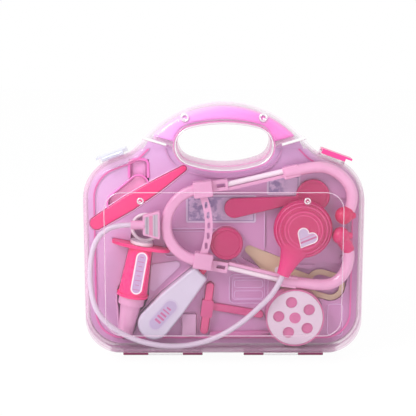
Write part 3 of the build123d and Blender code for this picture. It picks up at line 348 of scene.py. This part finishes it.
def capsule_label(name, centre, direction, half_long, half_wide, face, border, ink, marks):
    """Capsule sticker: pale border, tinted face, and bars across it at marks (from, to, half width)."""
    m = Nodes(name, face, 0.35, Coat_Weight=0.2, Coat_Roughness=0.15)
    border_wide, border_soft = 1.5, 0.25
    t = along(m, centre, direction)
    u = along(m, centre, (-direction[2], 0.0, direction[0]))
    run = (half_long - half_wide) * MM
    past = m.math("MAXIMUM", m.math("SUBTRACT", m.math("ABSOLUTE", t), run), 0.0)
    reach = m.math("SQRT", m.math("ADD", m.math("MULTIPLY", past, past), m.math("MULTIPLY", u, u)))
    colour = m.mix(m.noise(120.0, detail=3.0), shade(face, 0.93), shade(face, 1.05))
    for start, end, half in marks:
        bar = m.math("MULTIPLY", band(m, t, start, end), band(m, u, -half, half))
        colour = m.mix(bar, colour, ink)
    inner = half_wide - border_wide
    edge = m.fade(reach, inner, inner + border_soft)
    m.link(m.mix(edge, colour, border), "Base Color")
    m.bump(m.noise(700.0, detail=3.0), 0.15, 0.00003)
    return m.material


def striped_label(name, centre, direction, face, marks):
    """Sticker with plain stripes across one direction: from, to and colour."""
    m = Nodes(name, face, 0.4, Coat_Weight=0.15)
    t = along(m, centre, direction)
    colour = m.mix(m.noise(120.0, detail=3.0), shade(face, 0.94), shade(face, 1.05))
    for start, end, tint in marks:
        colour = m.mix(band(m, t, start, end), colour, tint)
    m.link(colour, "Base Color")
    m.bump(m.noise(700.0, detail=3.0), 0.15, 0.00003)
    return m.material


def card_print(name, centre, half_long, half_high):
    """Bare card: a soft violet field with darker clouds at one end, inside a pale frame and a thin line."""
    m = Nodes(name, srgb(206, 184, 214), 0.55)
    frame_inner, frame_outer = 2.6, 1.8
    across = along(m, centre, (1.0, 0.0, 0.0))
    up = along(m, centre, (0.0, 0.0, 1.0))

    def inside(margin):
        """1 on the card further in than the margin, else 0."""
        wide, high = half_long - margin, half_high - margin
        return m.math("MULTIPLY", band(m, across, -wide, wide), band(m, up, -high, high))

    stops = [(0.44, srgb(146, 120, 170)), (0.58, srgb(208, 176, 212))]
    clouds = m.ramp(m.noise(150.0, detail=3.0, roughness=0.6), stops)
    calm = m.mix(m.noise(60.0), srgb(196, 162, 204), srgb(216, 186, 220))
    calmer = m.fade(across, -half_long * 0.25, half_long * 0.3)
    framed = m.mix(inside(frame_outer), srgb(212, 186, 216), srgb(150, 118, 166))
    m.link(m.mix(inside(frame_inner), framed, m.mix(calmer, clouds, calm)), "Base Color")
    m.bump(m.noise(800.0, detail=3.0), 0.2, 0.00004)
    return m.material


# ---- labels -----------------------------------------------------------------------
BARREL_TOP = (-79.9, 111.9)        # x and z where the syringe's axis meets its flange
BARREL_LEAN = math.radians(10.5)
SCALE_DOWN = 24.5                  # from the flange to the scale's middle
SCALE_ASIDE = 3.0                  # from the axis to the scale's middle
scale_down = (-math.sin(BARREL_LEAN), 0.0, -math.cos(BARREL_LEAN))
scale_mid = (BARREL_TOP[0] - SCALE_DOWN * math.sin(BARREL_LEAN) + SCALE_ASIDE * math.cos(BARREL_LEAN), 0.0,
             BARREL_TOP[1] - SCALE_DOWN * math.cos(BARREL_LEAN) - SCALE_ASIDE * math.sin(BARREL_LEAN))
scale_marks = [(k * 4.6 - 16.4, k * 4.6 - 15.8, 3.0 if k % 2 else 1.8) for k in range(8)]
scale_print = capsule_label("scale_sticker", scale_mid, scale_down, 20.8, 5.5, srgb(198, 162, 206),
                            WARM_WHITE, INK, scale_marks)

THERMO_LEAN = math.radians(48.6)
thermo_line = (math.cos(THERMO_LEAN), 0.0, math.sin(THERMO_LEAN))
thermo_marks = [(-9.0, -6.6, 3.4), (-4.6, -2.4, 4.0), (-0.6, 1.6, 3.4), (4.0, 5.4, 4.0), (7.6, 9.4, 2.4)]
thermo_print = capsule_label("thermo_sticker", (-58.8, 0.0, 44.2), thermo_line, 18.5, 7.3,
                             srgb(188, 168, 204), srgb(206, 192, 216), INK, thermo_marks)

holder_stripes = [(-3.6, -2.2, srgb(150, 140, 156)), (-1.0, 2.6, srgb(214, 130, 170)),
                  (4.0, 5.0, srgb(160, 148, 166))]
holder_print = striped_label("holder_sticker", (-70.0, 0.0, 135.4), (1.0, 0.0, 0.0), srgb(190, 176, 190),
                             holder_stripes)

# ---- a material for every node -----------------------------------------------------
# material slot: colour, then roughness, coat and grain where they differ from moulded's own
plain_slots = {
    "magenta_plastic": (MAGENTA, 0.25),
    "hot_pink_plastic": (HOT, 0.26, 0.25),
    "hot_pink_rubber": (HOT, 0.5, 0.0, 0.5),
    "grip_plastic": (GRIP,),
    "card_paper": (srgb(214, 186, 216), 0.6, 0.0, 0.4),
    "white_plastic": (WHITE,),
    "pale_pink_plastic": (PALE_PINK, 0.3, 0.2),
    "label_paper": (LABEL, 0.45, 0.1, 0.3),
    "white_hose": (srgb(214, 196, 216), 0.34, 0.1),
    "pearl_plastic": (PEARL,),
    "dial_pink_plastic": (srgb(214, 106, 160),),
    "beige_plastic": (BEIGE, 0.35),
}
palette = {slot: moulded(slot, *looks) for slot, looks in plain_slots.items()}
# The cover's foot colour is painted shade along its sole.
palette["clear_plastic"] = clear("clear_plastic", srgb(250, 238, 248), 0.012, 0.42, roughness=0.06,
                                 metallic=0.1, foot=srgb(168, 122, 154), edge=srgb(234, 164, 214))
palette["pink_clear_plastic"] = rear_plastic("pink_clear_plastic", srgb(250, 184, 228), MAGENTA)
palette["tray_plastic"] = tray_sheet("tray_plastic", TRAY)
palette["rim_plastic"] = rim_bead("rim_plastic", srgb(230, 104, 176), srgb(206, 152, 200))

# node: name of its own material, then as above
plain_nodes = {
    "pill_wheel_disc": ("wheel_white", srgb(222, 198, 216)),
    "name_badge": ("badge_card", srgb(206, 168, 204), 0.6, 0.0, 0.4),
    "scalpel": ("scalpel_pink", HOT_LIGHT, 0.28, 0.2),
    "mirror_paddle": ("paddle_pink", HOT_DEEP, 0.32),
    "jar_cap": ("jar_cap_pink", HOT_DEEP, 0.3, 0.2),
    "hammer_head": ("hammer_head_pink", srgb(222, 78, 136), 0.32),
    "hammer_handle": ("hammer_handle_pink", srgb(208, 74, 134), 0.32),
    "right_latch": ("latch_pink", srgb(238, 66, 150), 0.28, 0.2),
    "syringe_barrel": ("barrel_pink", srgb(250, 36, 128), 0.26, 0.25),
    "upper_ear_tip": ("tip_pink", srgb(214, 6, 92), 0.42, 0.1),
    "lower_ear_tip": ("tip_pink_low", srgb(220, 30, 112), 0.42, 0.1),
    "medicine_bottle": ("bottle_pink", srgb(255, 160, 214), 0.3, 0.2),
    "bottle_cap": ("bottle_cap_pink", srgb(250, 168, 226), 0.35, 0.1),
    "tweezers": ("tweezer_pink", srgb(206, 112, 170), 0.35),
}
palette_by_node = {node: moulded(*looks) for node, looks in plain_nodes.items()}
palette_by_node["syringe_scale"] = scale_print
palette_by_node["thermometer_label"] = thermo_print
palette_by_node["holder_label"] = holder_print
palette_by_node["wide_card"] = card_print("wide_card_print", (-2.45, 0.0, 147.5), 33.9, 13.7)
palette_by_node["tall_card"] = card_print("tall_card_print", (57.9, 0.0, 170.85), 16.1, 9.8)
palette_by_node["chest_piece"] = bell_plastic("bell_pink", BELL_PINK)
palette_by_node["clear_pill_box"] = clear("pill_box_clear", srgb(240, 184, 224), 0.62, 0.85,
                                          roughness=0.15, metallic=0.0, scuff_and_glint=0.8)
palette_by_node["left_latch"] = clear("latch_clear", srgb(226, 228, 246), 0.3, 0.85,
                                      roughness=0.12, metallic=0.3, scuff_and_glint=0.3)

slots = {entry["node"]: entry["material_slot"] for entry in frame["record"]["subparts"]}
for node, obj in frame["nodes"].items():
    for slot in obj.material_slots:
        slot.material = palette_by_node.get(node, palette[slots[node]])


# ---- paths ----------------------------------------------------------------------------
def path(points, y):
    """Run of x, z points at one depth, in metres."""
    return [Vector((x, y, z)) * MM for x, z in points]


def rounded_path(x0, z0, x1, z1, radius, y, steps=8):
    """Rounded rectangle at one depth."""
    corners = [(x1 - radius, z1 - radius, 0), (x0 + radius, z1 - radius, 90),
               (x0 + radius, z0 + radius, 180), (x1 - radius, z0 + radius, 270)]
    points = []
    for cx, cz, start in corners:
        for i in range(steps + 1):
            a = math.radians(start + 90 * i / steps)
            points.append((cx + radius * math.cos(a), cz + radius * math.sin(a)))
    return path(points, y)


def hull_path(circles, y, steps=40):
    """Closed path round circles given as x, z and radius."""
    spots = sorted({(round(x + r * math.cos(2 * math.pi * k / steps), 3),
                     round(z + r * math.sin(2 * math.pi * k / steps), 3))
                    for x, z, r in circles for k in range(steps)})

    def half(points):
        chain = []
        for p in points:
            while len(chain) > 1 and ((chain[-1][0] - chain[-2][0]) * (p[1] - chain[-2][1])
                                      - (chain[-1][1] - chain[-2][1]) * (p[0] - chain[-2][0])) <= 0:
                chain.pop()
            chain.append(p)
        return chain[:-1]

    return path(half(spots) + half(list(reversed(spots))), y)


def in_hole(x, z, grow):
    """True inside the handle hole's outline, grown outwards."""
    lens = (math.hypot(x, z - HOLE_HIGH[0]) < HOLE_HIGH[1] + grow
            and math.hypot(x, z - HOLE_LOW[0]) < HOLE_LOW[1] + grow and abs(x) < HOLE_TURN)
    return lens or math.hypot(abs(x) - HOLE_END[0], z - HOLE_END[1]) < HOLE_END[2] + grow


def above_rib(x, z, grow):
    """True above the ribs beside the handle."""
    return z > RIB[1] + (abs(x) - RIB[0]) * RIB[2] + grow


def hole_path(grow, y, steps=120):
    """Closed path round the handle hole, grown outwards, by halving along each ray from its middle."""
    inside, outside, halvings = 5.0, 70.0, 24
    points = []
    for k in range(steps):
        a = 2 * math.pi * k / steps
        near, far = inside, outside
        for _ in range(halvings):
            middle = (near + far) / 2
            if in_hole(middle * math.cos(a), HOLE_END[1] + middle * math.sin(a), grow):
                near = middle
            else:
                far = middle
        points.append((near * math.cos(a), HOLE_END[1] + near * math.sin(a)))
    return path(points, y)


# ---- piece makers ----------------------------------------------------------------------
def place(name, data, material, body):
    obj = bpy.data.objects.new(name, data)
    scene.collection.objects.link(obj)
    obj.data.materials.append(material)
    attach(obj, body)
    return obj


def bead(name, points, radius, material, body, closed=True):
    """Thin round bead along a path."""
    curve = bpy.data.curves.new(name, "CURVE")
    curve.dimensions = "3D"
    spline = curve.splines.new("POLY")
    spline.points.add(len(points) - 1)
    for point, at in zip(spline.points, points):
        point.co = (*at, 1.0)
    spline.use_cyclic_u = closed
    curve.bevel_depth = radius * MM
    curve.bevel_resolution = 3
    curve.use_fill_caps = not closed
    place(name, curve, material, body)


def tray_bead(name, points, radius, material, closed=True):
    bead(name, points, radius, material, "case", closed)


def cover_bead(name, points, radius, material, closed=True):
    bead(name, points, radius, material, "front_cover", closed)


def smooth_tube(name, line, y, radius, order, steps, sides):
    """Round tube along a smooth curve through x, z control points at one depth."""
    curve = bpy.data.curves.new(name, "CURVE")
    curve.dimensions = "3D"
    spline = curve.splines.new("NURBS")
    spline.points.add(len(line) - 1)
    for point, (x, z) in zip(spline.points, line):
        point.co = (x * MM, y * MM, z * MM, 1.0)
    spline.order_u = order
    spline.use_endpoint_u = True
    spline.resolution_u = steps
    curve.bevel_depth = radius * MM
    curve.bevel_resolution = sides
    return curve


def ring(name, centre, major, minor, material, body, squash=1.0):
    """Torus that faces the front."""
    x, y, z = centre
    around, across = 40, 10
    points = []
    faces = []
    for i in range(around):
        a = 2 * math.pi * i / around
        for j in range(across):
            b = 2 * math.pi * j / across
            r = major + minor * math.cos(b)
            spot = (x + r * math.cos(a), y + squash * minor * math.sin(b), z + r * math.sin(a))
            points.append(Vector(spot) * MM)
            n = (i + 1) % around
            k = (j + 1) % across
            faces.append((i * across + j, i * across + k, n * across + k, n * across + j))
    mesh = bpy.data.meshes.new(name)
    mesh.from_pydata(points, [], faces)
    mesh.polygons.foreach_set("use_smooth", [True] * len(faces))
    place(name, mesh, material, body)


def skin(bm, loops):
    """Walls between successive closed loops of vertices, with a cap at each end."""
    for one, two in zip(loops, loops[1:]):
        for k in range(len(one)):
            n = (k + 1) % len(one)
            bm.faces.new((one[k], one[n], two[n], two[k]))
    bm.faces.new(list(reversed(loops[0])))
    bm.faces.new(loops[-1])
    bmesh.ops.recalc_face_normals(bm, faces=bm.faces)


def finished(bm, name):
    """Mesh of a bmesh, which is freed."""
    mesh = bpy.data.meshes.new(name)
    bm.to_mesh(mesh)
    bm.free()
    return mesh


# ---- hose ---------------------------------------------------------------------------
hose_points = [
    (-88.2, 135.4), (-102.5, 135.4), (-115.2, 128.8), (-123.6, 117.8), (-127.8, 99.6), (-128.4, 76.0),
    (-124.2, 51.6), (-108.5, 33.4), (-82.0, 19.2), (-47.0, 13.4), (-12.0, 20.6), (15.6, 36.6),
    (36.4, 56.0), (50.3, 70.8), (57.0, 86.4),
]
hose_curve = smooth_tube("hose_line", hose_points, HOSE_Y, 2.65, order=3, steps=12, sides=6)
hose = place("hose_line", hose_curve, palette["white_hose"], "case")
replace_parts(hose, "hose")


# ---- grip ------------------------------------------------------------------------------
def grip_mesh(name, inset, front, back):
    """Wide moulded grip that fills the handle between its walls, crowned towards front and back."""
    half_turn = math.radians(44.4)
    stations = 72
    step, deepest, thinnest = 0.25, 40.0, 0.8
    crown, full_crown_depth = 2.2, 6.0
    # share of the depth and share of the crown
    profile = [(0.0, 0.0), (0.06, 0.5), (0.16, 0.85), (0.34, 1.0),
               (0.66, 1.0), (0.84, 0.85), (0.94, 0.5), (1.0, 0.0)]
    outer = ARCH_R - inset
    bm = bmesh.new()
    loops = []
    for i in range(stations + 1):
        a = half_turn * (1 - 2 * i / stations)
        dx, dz = -math.sin(a), math.cos(a)
        depth = 0.0
        while depth < deepest:
            x = dx * (outer - depth)
            z = ARCH_Z + dz * (outer - depth)
            if in_hole(x, z, inset) or not above_rib(x, z, inset):
                break
            depth += step
        depth = max(depth, thinnest)
        rise_here = crown * min(1.0, depth / full_crown_depth)
        loop = []
        for face_y, inward, stops in ((front, 1, profile), (back, -1, list(reversed(profile)))):
            for share, rise in stops:
                reach = outer - depth * share
                y = face_y + inward * (crown - rise_here * rise)
                loop.append(bm.verts.new(Vector((dx * reach, y, ARCH_Z + dz * reach)) * MM))
        loops.append(loop)
    skin(bm, loops)
    for face in bm.faces:
        face.smooth = len(face.verts) == 4
    return finished(bm, name)


GRIP_GAP = 2.7                     # from the arch and from the hole
GRIP_FRONT = -13.0
GRIP_BACK = 12.0
grip = place("grip_moulding", grip_mesh("grip_moulding", GRIP_GAP, GRIP_FRONT, GRIP_BACK),
             grip_plastic("grip_plastic_run"), "case")
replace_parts(grip, "handle_grip")

# ---- tray trims: lips of the pockets ------------------------------------------------------
lip = moulded("tray_lip", srgb(226, 164, 208), 0.25, 0.35)
lip_bright = moulded("tray_lip_bright", srgb(246, 118, 200), 0.25, 0.35)
fold = moulded("tray_fold", srgb(222, 176, 220), 0.22, 0.4)
cap_outline = [(-90.9, 178.0), (-90.8, 192.0), (-89.2, 194.8), (-86.0, 195.8), (-77.4, 195.8),
               (-74.2, 194.8), (-72.5, 192.0), (-72.4, 178.0)]
nose_side = [(-104.9, 63.0), (-105.1, 55.0), (-104.2, 48.0), (-103.6, 36.0), (-102.9, 24.0)]
bottle_outline = [(-82.0, 171.0, 9.4), (-102.0, 153.0, 10.4)]
tray_bead("bottle_pocket_lip", hull_path(bottle_outline, TRAY_Y), 1.0, lip_bright)
tray_bead("cap_pocket_lip", path(cap_outline, TRAY_Y), 1.4, lip_bright, closed=False)
tray_bead("nose_pocket_lip", path(nose_side, TRAY_Y), 1.1, lip, closed=False)
pockets = (
    ("scalpel", 0.7, [(-123.2, 133.4, 7.4), (-92.0, 152.6, 8.6), (-66.0, 169.0, 7.2), (-38.4, 187.0, 3.9)]),
    ("thermo", 0.7, [(-28.0, 88.2, 4.0), (-19.4, 79.6, 4.0), (-50.6, 54.4, 15.6), (-67.7, 34.6, 17.0)]),
    ("jar", 0.7, [(2.8, 115.4, 15.4)]),
    ("hammer", 0.6, [(-13.0, 71.0, 4.8), (-18.7, 26.6, 4.8)]),
)
for tool, radius, circles in pockets:
    tray_bead(f"{tool}_pocket_lip", hull_path(circles, TRAY_Y), radius, lip)
tray_bead("pill_pocket_lip", rounded_path(-41.4, 20.2, -25.8, 43.8, 2.0, TRAY_Y), 0.6, lip)

# ---- tray trims: folds of the sheet, each x0, z0, x1, z1 -----------------------------------
RECESSES = ((6.0, 53.0, 44.0, 82.0), (-58.0, 100.0, -2.0, 128.0))
CELLS = ((11.0, 57.4, 39.0, 65.0), (11.0, 68.4, 39.0, 76.0))
FIELDS = ((103.0, 20.0, 118.0, 52.0), (-4.0, 86.5, 14.0, 97.0))
BELL_RECESS = (40.0, 92.0, 121.0, 158.0)
STEP_IN = 3.2                      # from a recess's edge to its floor
for i, (x0, z0, x1, z1) in enumerate(RECESSES):
    tray_bead(f"recess_fold_{i}", rounded_path(x0, z0, x1, z1, 5.0, TRAY_Y), 0.55, fold)
    step_path = rounded_path(x0 + STEP_IN, z0 + STEP_IN, x1 - STEP_IN, z1 - STEP_IN, 3.0, STEP_Y)
    tray_bead(f"recess_step_{i}", step_path, 0.4, fold)
bell_left = [point for point in rounded_path(*BELL_RECESS, 5.0, TRAY_Y) if point.x < 0.1 and point.z > 0.15]
tray_bead("recess_fold_2", bell_left + path([(BELL_RECESS[0], 108.0)], TRAY_Y), 0.55, fold, closed=False)
for i, cell in enumerate(CELLS):
    tray_bead(f"cell_fold_{i}", rounded_path(*cell, 2.4, STEP_Y), 0.5, fold)
for i, field in enumerate(FIELDS):
    tray_bead(f"tray_fold_{i}", rounded_path(*field, 3.4, TRAY_Y), 0.5, fold)


# ---- tray wings --------------------------------------------------------------------------
def wing_mesh(name, side):
    """Tongue of the tray's sheet that reaches up under the rib beside the handle hole."""
    outline = [(48.5, 205.9), (77.0, 205.9), (71.0, 215.6), (55.5, 211.0), (50.0, 208.4)]
    bm = bmesh.new()
    skin(bm, [[bm.verts.new(point) for point in path([(side * x, z) for x, z in outline], y)]
              for y in (TRAY_Y, TRAY_Y + 1.0)])
    corners = [edge for edge in bm.edges if abs(edge.verts[0].co.y - edge.verts[1].co.y) > 0.5 * MM]
    bmesh.ops.bevel(bm, geom=corners, offset=1.2 * MM, segments=3, profile=0.5, affect="EDGES")
    return finished(bm, name)


for side, word in ((-1, "left"), (1, "right")):
    place(f"tray_wing_{word}", wing_mesh(f"tray_wing_{word}", side), palette["tray_plastic"], "case")

# ---- bottle cap ---------------------------------------------------------------------------
CAP_X = -81.6
CAP_Y = 13.6
CAP_R = 9.4
CAP_FOOT = 178.4
CAP_TOP = 195.4


def cap_mesh(name):
    """Cap with a broad flat front, fine ribs down its sides and a rounded top."""
    around, squareness = 96, 0.5
    rib_every, rib_deep = 4, 0.16
    stations = [(0.0, 0.94), (0.04, 1.0), (0.82, 1.0), (0.9, 0.985), (0.96, 0.93), (1.0, 0.8)]
    points = []
    for share, reach in stations:
        for k in range(around):
            a = 2 * math.pi * k / around
            c, s = math.cos(a), math.sin(a)
            r = CAP_R * reach - (rib_deep if k % rib_every == 0 else 0.0)
            points.append(Vector((CAP_X + r * math.copysign(abs(c) ** squareness, c),
                                  CAP_Y + r * math.copysign(abs(s) ** squareness, s),
                                  CAP_FOOT + (CAP_TOP - CAP_FOOT) * share)) * MM)
    rows = len(stations)
    faces = []
    for i in range(rows - 1):
        for k in range(around):
            n = (k + 1) % around
            faces.append((i * around + k, i * around + n, (i + 1) * around + n, (i + 1) * around + k))
    faces.append(tuple(reversed(range(around))))
    faces.append(tuple(range((rows - 1) * around, rows * around)))
    mesh = bpy.data.meshes.new(name)
    mesh.from_pydata(points, [], faces)
    mesh.polygons.foreach_set("use_smooth", [len(face) == 4 for face in faces])
    return mesh


cap = place("ribbed_cap", cap_mesh("ribbed_cap"), palette_by_node["bottle_cap"], "case")
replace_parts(cap, "bottle_cap")

# ---- heart sticker ---------------------------------------------------------------------------
HEART = (78.5, 123.5)
HEART_LEAN = math.radians(-28.0)
LOBE = (4.73, 2.75, 5.5)           # x, z and radius of a lobe, from the heart's own middle
HEART_POINT = -11.0
STICKER_BACK = -23.4
STICKER_FRONT = -23.9


def heart_path(y, grow):
    """Closed path round the heart sticker: two lobes and a point."""
    first, turn, steps = 221, 190, 16
    r = LOBE[2] + grow
    lobe = []
    for k in range(steps + 1):
        a = math.radians(first - turn * k / steps)
        lobe.append((-LOBE[0] + r * math.cos(a), LOBE[1] + r * math.sin(a)))
    outline = [(0.0, HEART_POINT - grow)] + lobe + [(-x, z) for x, z in reversed(lobe)]
    c, s = math.cos(HEART_LEAN), math.sin(HEART_LEAN)
    return path([(HEART[0] + x * c - z * s, HEART[1] + x * s + z * c) for x, z in outline], y)


def heart_mesh(name):
    """Thin sticker with a softened edge."""
    soft = 0.12
    bm = bmesh.new()
    skin(bm, [[bm.verts.new(point) for point in heart_path(y, grow)]
              for y, grow in ((STICKER_BACK, -0.1), (STICKER_FRONT + soft, -0.1), (STICKER_FRONT, -0.3))])
    return finished(bm, name)


heart_stripes = [(-1.4, 0.4, srgb(196, 96, 148)), (2.2, 3.2, srgb(206, 140, 180))]
heart_face = striped_label("heart_sticker_print", (HEART[0], 0.0, HEART[1] - 2.0), (-0.38, 0.0, 0.92),
                           srgb(200, 178, 210), heart_stripes)
heart = place("heart_sticker", heart_mesh("heart_sticker"), heart_face, "case")
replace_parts(heart, "heart_badge")
bead("heart_border", heart_path(STICKER_FRONT, -0.5), 0.6, moulded("heart_rim", WARM_WHITE, 0.35), "case")

# ---- chest piece rings ---------------------------------------------------------------------
BELL = (75.9, 130.7)
BELL_RINGS = ((14.6, -23.4, 0.4), (17.9, -23.35, 0.45), (22.6, -21.5, 0.5), (25.7, -18.8, 0.5))
# The ridges are real, and their lighter pink is a painted highlight along the rings.
bell_ridge_highlight = moulded("bell_ridge_highlight", srgb(228, 66, 142), 0.14, 0.5)
for i, (reach, depth, thick) in enumerate(BELL_RINGS):
    ring(f"bell_ring_{i}", (BELL[0], depth, BELL[1]), reach, thick, bell_ridge_highlight, "case",
         squash=0.6)

# ---- ear tubes -----------------------------------------------------------------------------
TUBE_R = 5.5
upper_line = [
    (58.5, 183.9), (66.0, 185.4), (73.0, 187.2), (82.0, 189.0), (90.0, 189.9), (97.6, 189.3), (104.6, 186.6),
    (111.4, 182.2), (117.2, 176.4), (121.4, 169.6), (123.4, 162.2), (123.0, 155.0), (120.8, 148.0),
]
lower_line = [
    (57.5, 78.7), (66.6, 77.4), (75.0, 76.2), (84.2, 74.9), (93.9, 73.9), (102.2, 74.2), (109.0, 77.0),
    (114.6, 81.8), (118.6, 88.4), (121.0, 96.8), (121.4, 103.6), (121.0, 108.6),
]
CLIP_SIZE = (16.0, 11.8, 8.0)      # along the tube, across it and deep
CLIP_WINDOW = 5.4                  # height of the window in its front
tube_pink = moulded("tube_pink", srgb(236, 168, 208), 0.22, 0.35)


def clip_mesh(name, centre, angle):
    """Rounded clip at a tube's start, with a sunk window in its front."""
    long, wide, deep = CLIP_SIZE
    bm = bmesh.new()
    bmesh.ops.create_cube(bm, size=1.0)
    for vert in bm.verts:
        vert.co = Vector((vert.co.x * long, vert.co.y * deep, vert.co.z * wide)) * MM
    front = min(bm.faces, key=lambda face: face.calc_center_median().y)
    bmesh.ops.inset_region(bm, faces=[front], thickness=(wide - CLIP_WINDOW) / 2 * MM, depth=0.0)
    bmesh.ops.inset_region(bm, faces=[front], thickness=0.3 * MM, depth=-0.9 * MM)
    outer = [edge for edge in bm.edges if all(abs(abs(v.co.z) - wide / 2 * MM) < 1e-6 for v in edge.verts)]
    bmesh.ops.bevel(bm, geom=outer, offset=1.3 * MM, segments=3, profile=0.5, affect="EDGES")
    turn = Matrix.Rotation(-math.radians(angle), 4, "Y")
    move = Matrix.Translation(Vector((centre[0], TUBE_Y, centre[1])) * MM)
    bmesh.ops.transform(bm, matrix=move @ turn, verts=bm.verts)
    return finished(bm, name)


for word, line in (("upper", upper_line), ("lower", lower_line)):
    tube = smooth_tube(f"{word}_ear_hose", line, TUBE_Y, TUBE_R, order=4, steps=8, sides=8)
    tube.use_fill_caps = True
    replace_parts(place(f"{word}_ear_hose", tube, tube_pink, "case"), f"{word}_ear_tube")
for word, centre, angle in (("upper", (64.4, 185.2), 13.5), ("lower", (63.6, 77.8), -8.5)):
    place(f"{word}_ear_clip", clip_mesh(f"{word}_ear_clip", centre, angle), tube_pink, "case")

# ---- cover trims -------------------------------------------------------------------------
PANEL = (-112.8, 28.8, 112.8, 168.3)
PANEL_R = 17.0
PANEL_POST = (78.9, 159.3)
GRIP_POST = (36.9, 237.0)
RIB_ENDS = ((53.9, 213.2), (76.0, 219.7))
COVER_RINGS = (                    # name, place, depth, large and small radius
    ("panel_ring", PANEL_POST, -23.8, 2.5, 0.85),
    ("panel_post", PANEL_POST, -27.5, 0.35, 0.5),
    ("grip_ring", GRIP_POST, -13.2, 3.1, 1.2),
    ("grip_post", GRIP_POST, -27.1, 0.5, 0.6),
)
frosted = clear("frosted_edge", srgb(252, 228, 244), 0.5, 0.8, roughness=0.2, metallic=0.3)
white_ring = clear("white_ring", (0.99, 0.97, 0.99), 0.9, 0.97, roughness=0.25, metallic=0.75)
hole_pink = clear("hole_pink", srgb(250, 150, 214), 0.55, 0.8, roughness=0.2, metallic=0.0)
cover_bead("panel_line", rounded_path(*PANEL, PANEL_R, -29.5), 0.42, frosted)
for side, word in ((-1, "left"), (1, "right")):
    for name, (x, z), depth, major, minor in COVER_RINGS:
        ring(f"{name}_{word}", (side * x, depth, z), major, minor, white_ring, "front_cover")
    rib = path([(side * x, z) for x, z in RIB_ENDS], -27.9)
    cover_bead(f"rib_edge_{word}", rib, 1.5, white_ring, closed=False)
cover_bead("hole_rim_white", hole_path(0.9, -29.4), 0.6, white_ring)
cover_bead("hole_rim_pink", hole_path(2.5, -29.5), 0.5, hole_pink)
cover_bead("hole_wall_line", hole_path(0.5, -6.0), 0.6, hole_pink)

# ---- pill wheel ------------------------------------------------------------------------------
WHEEL = (69.7, 42.1)
WELL_REACH = 15.9                  # five wells stand round a sixth in the middle
WELL_FLOOR = -11.9
HUB_FACE = -13.85
FIRST_WELL = 103                   # degrees
for i in range(6):
    a = math.radians(FIRST_WELL + 72 * i)
    reach, depth = (WELL_REACH, WELL_FLOOR) if i < 5 else (0.0, HUB_FACE)
    spot = (WHEEL[0] + reach * math.cos(a), depth, WHEEL[1] + reach * math.sin(a))
    for k, r in enumerate((1.5, 3.4)):
        ring(f"wheel_ring_{i}_{k}", spot, r, 0.28, palette["dial_pink_plastic"], "case")

# ---- floor and light -------------------------------------------------------------------
FLOOR = 4.0                        # metres from the middle to each edge
FLOOR_GLOW = 1.01
FLOOR_SHARE = 0.95                 # of the glow, against the floor's own shading
LIGHT_LEVEL = 0.7                  # of the world, on the object
floor_mesh = bpy.data.meshes.new("floor")
floor_mesh.from_pydata(
    [(-FLOOR, -FLOOR, 0), (FLOOR, -FLOOR, 0), (FLOOR, FLOOR, 0), (-FLOOR, FLOOR, 0)], [], [(0, 1, 2, 3)]
)
floor = bpy.data.objects.new("floor", floor_mesh)
scene.collection.objects.link(floor)


def seen_directly(tree):
    """1 for camera, glossy and transmitted rays, else 0."""
    rays = tree.nodes.new("ShaderNodeLightPath")
    total = rays.outputs["Is Camera Ray"]
    for kind in ("Is Glossy Ray", "Is Transmission Ray"):
        node = tree.nodes.new("ShaderNodeMath")
        node.operation = "MAXIMUM"
        tree.links.new(total, node.inputs[0])
        tree.links.new(rays.outputs[kind], node.inputs[1])
        total = node.outputs[0]
    return total


m = Nodes("floor_white", (0.92, 0.92, 0.92), 0.6)
glow = m.add("ShaderNodeEmission", {"Color": (1, 1, 1, 1), "Strength": FLOOR_GLOW})
mixed = m.add("ShaderNodeMixShader", {0: m.math("MULTIPLY", seen_directly(m.tree), FLOOR_SHARE),
                                      1: m.shader.outputs[0], 2: glow.outputs[0]})
m.tree.links.new(mixed.outputs[0], m.tree.nodes["Material Output"].inputs["Surface"])
floor_mesh.materials.append(m.material)

world = bpy.data.worlds.new("studio")
scene.world = world
world.use_nodes = True
tree = world.node_tree
strength = tree.nodes.new("ShaderNodeMapRange")
tree.links.new(seen_directly(tree), strength.inputs["Value"])
strength.inputs["To Min"].default_value = LIGHT_LEVEL
strength.inputs["To Max"].default_value = 1.0
background = tree.nodes["Background"]
background.inputs["Color"].default_value = (1, 1, 1, 1)
tree.links.new(strength.outputs["Result"], background.inputs["Strength"])


def lamp(name, spot, target, size, power):
    """Square lamp at a spot, turned towards its target."""
    data = bpy.data.lights.new(name, "AREA")
    data.size = size
    data.energy = power
    obj = bpy.data.objects.new(name, data)
    obj.location = spot
    obj.rotation_euler = (Vector(target) - Vector(spot)).to_track_quat("-Z", "Y").to_euler()
    scene.collection.objects.link(obj)


CASE_MIDDLE = (0, 0, 0.12)
lamp("key", (-0.8, -0.75, 1.0), CASE_MIDDLE, 0.5, 14.0)
lamp("fill", (0.9, -1.0, 0.4), CASE_MIDDLE, 0.9, 2.0)
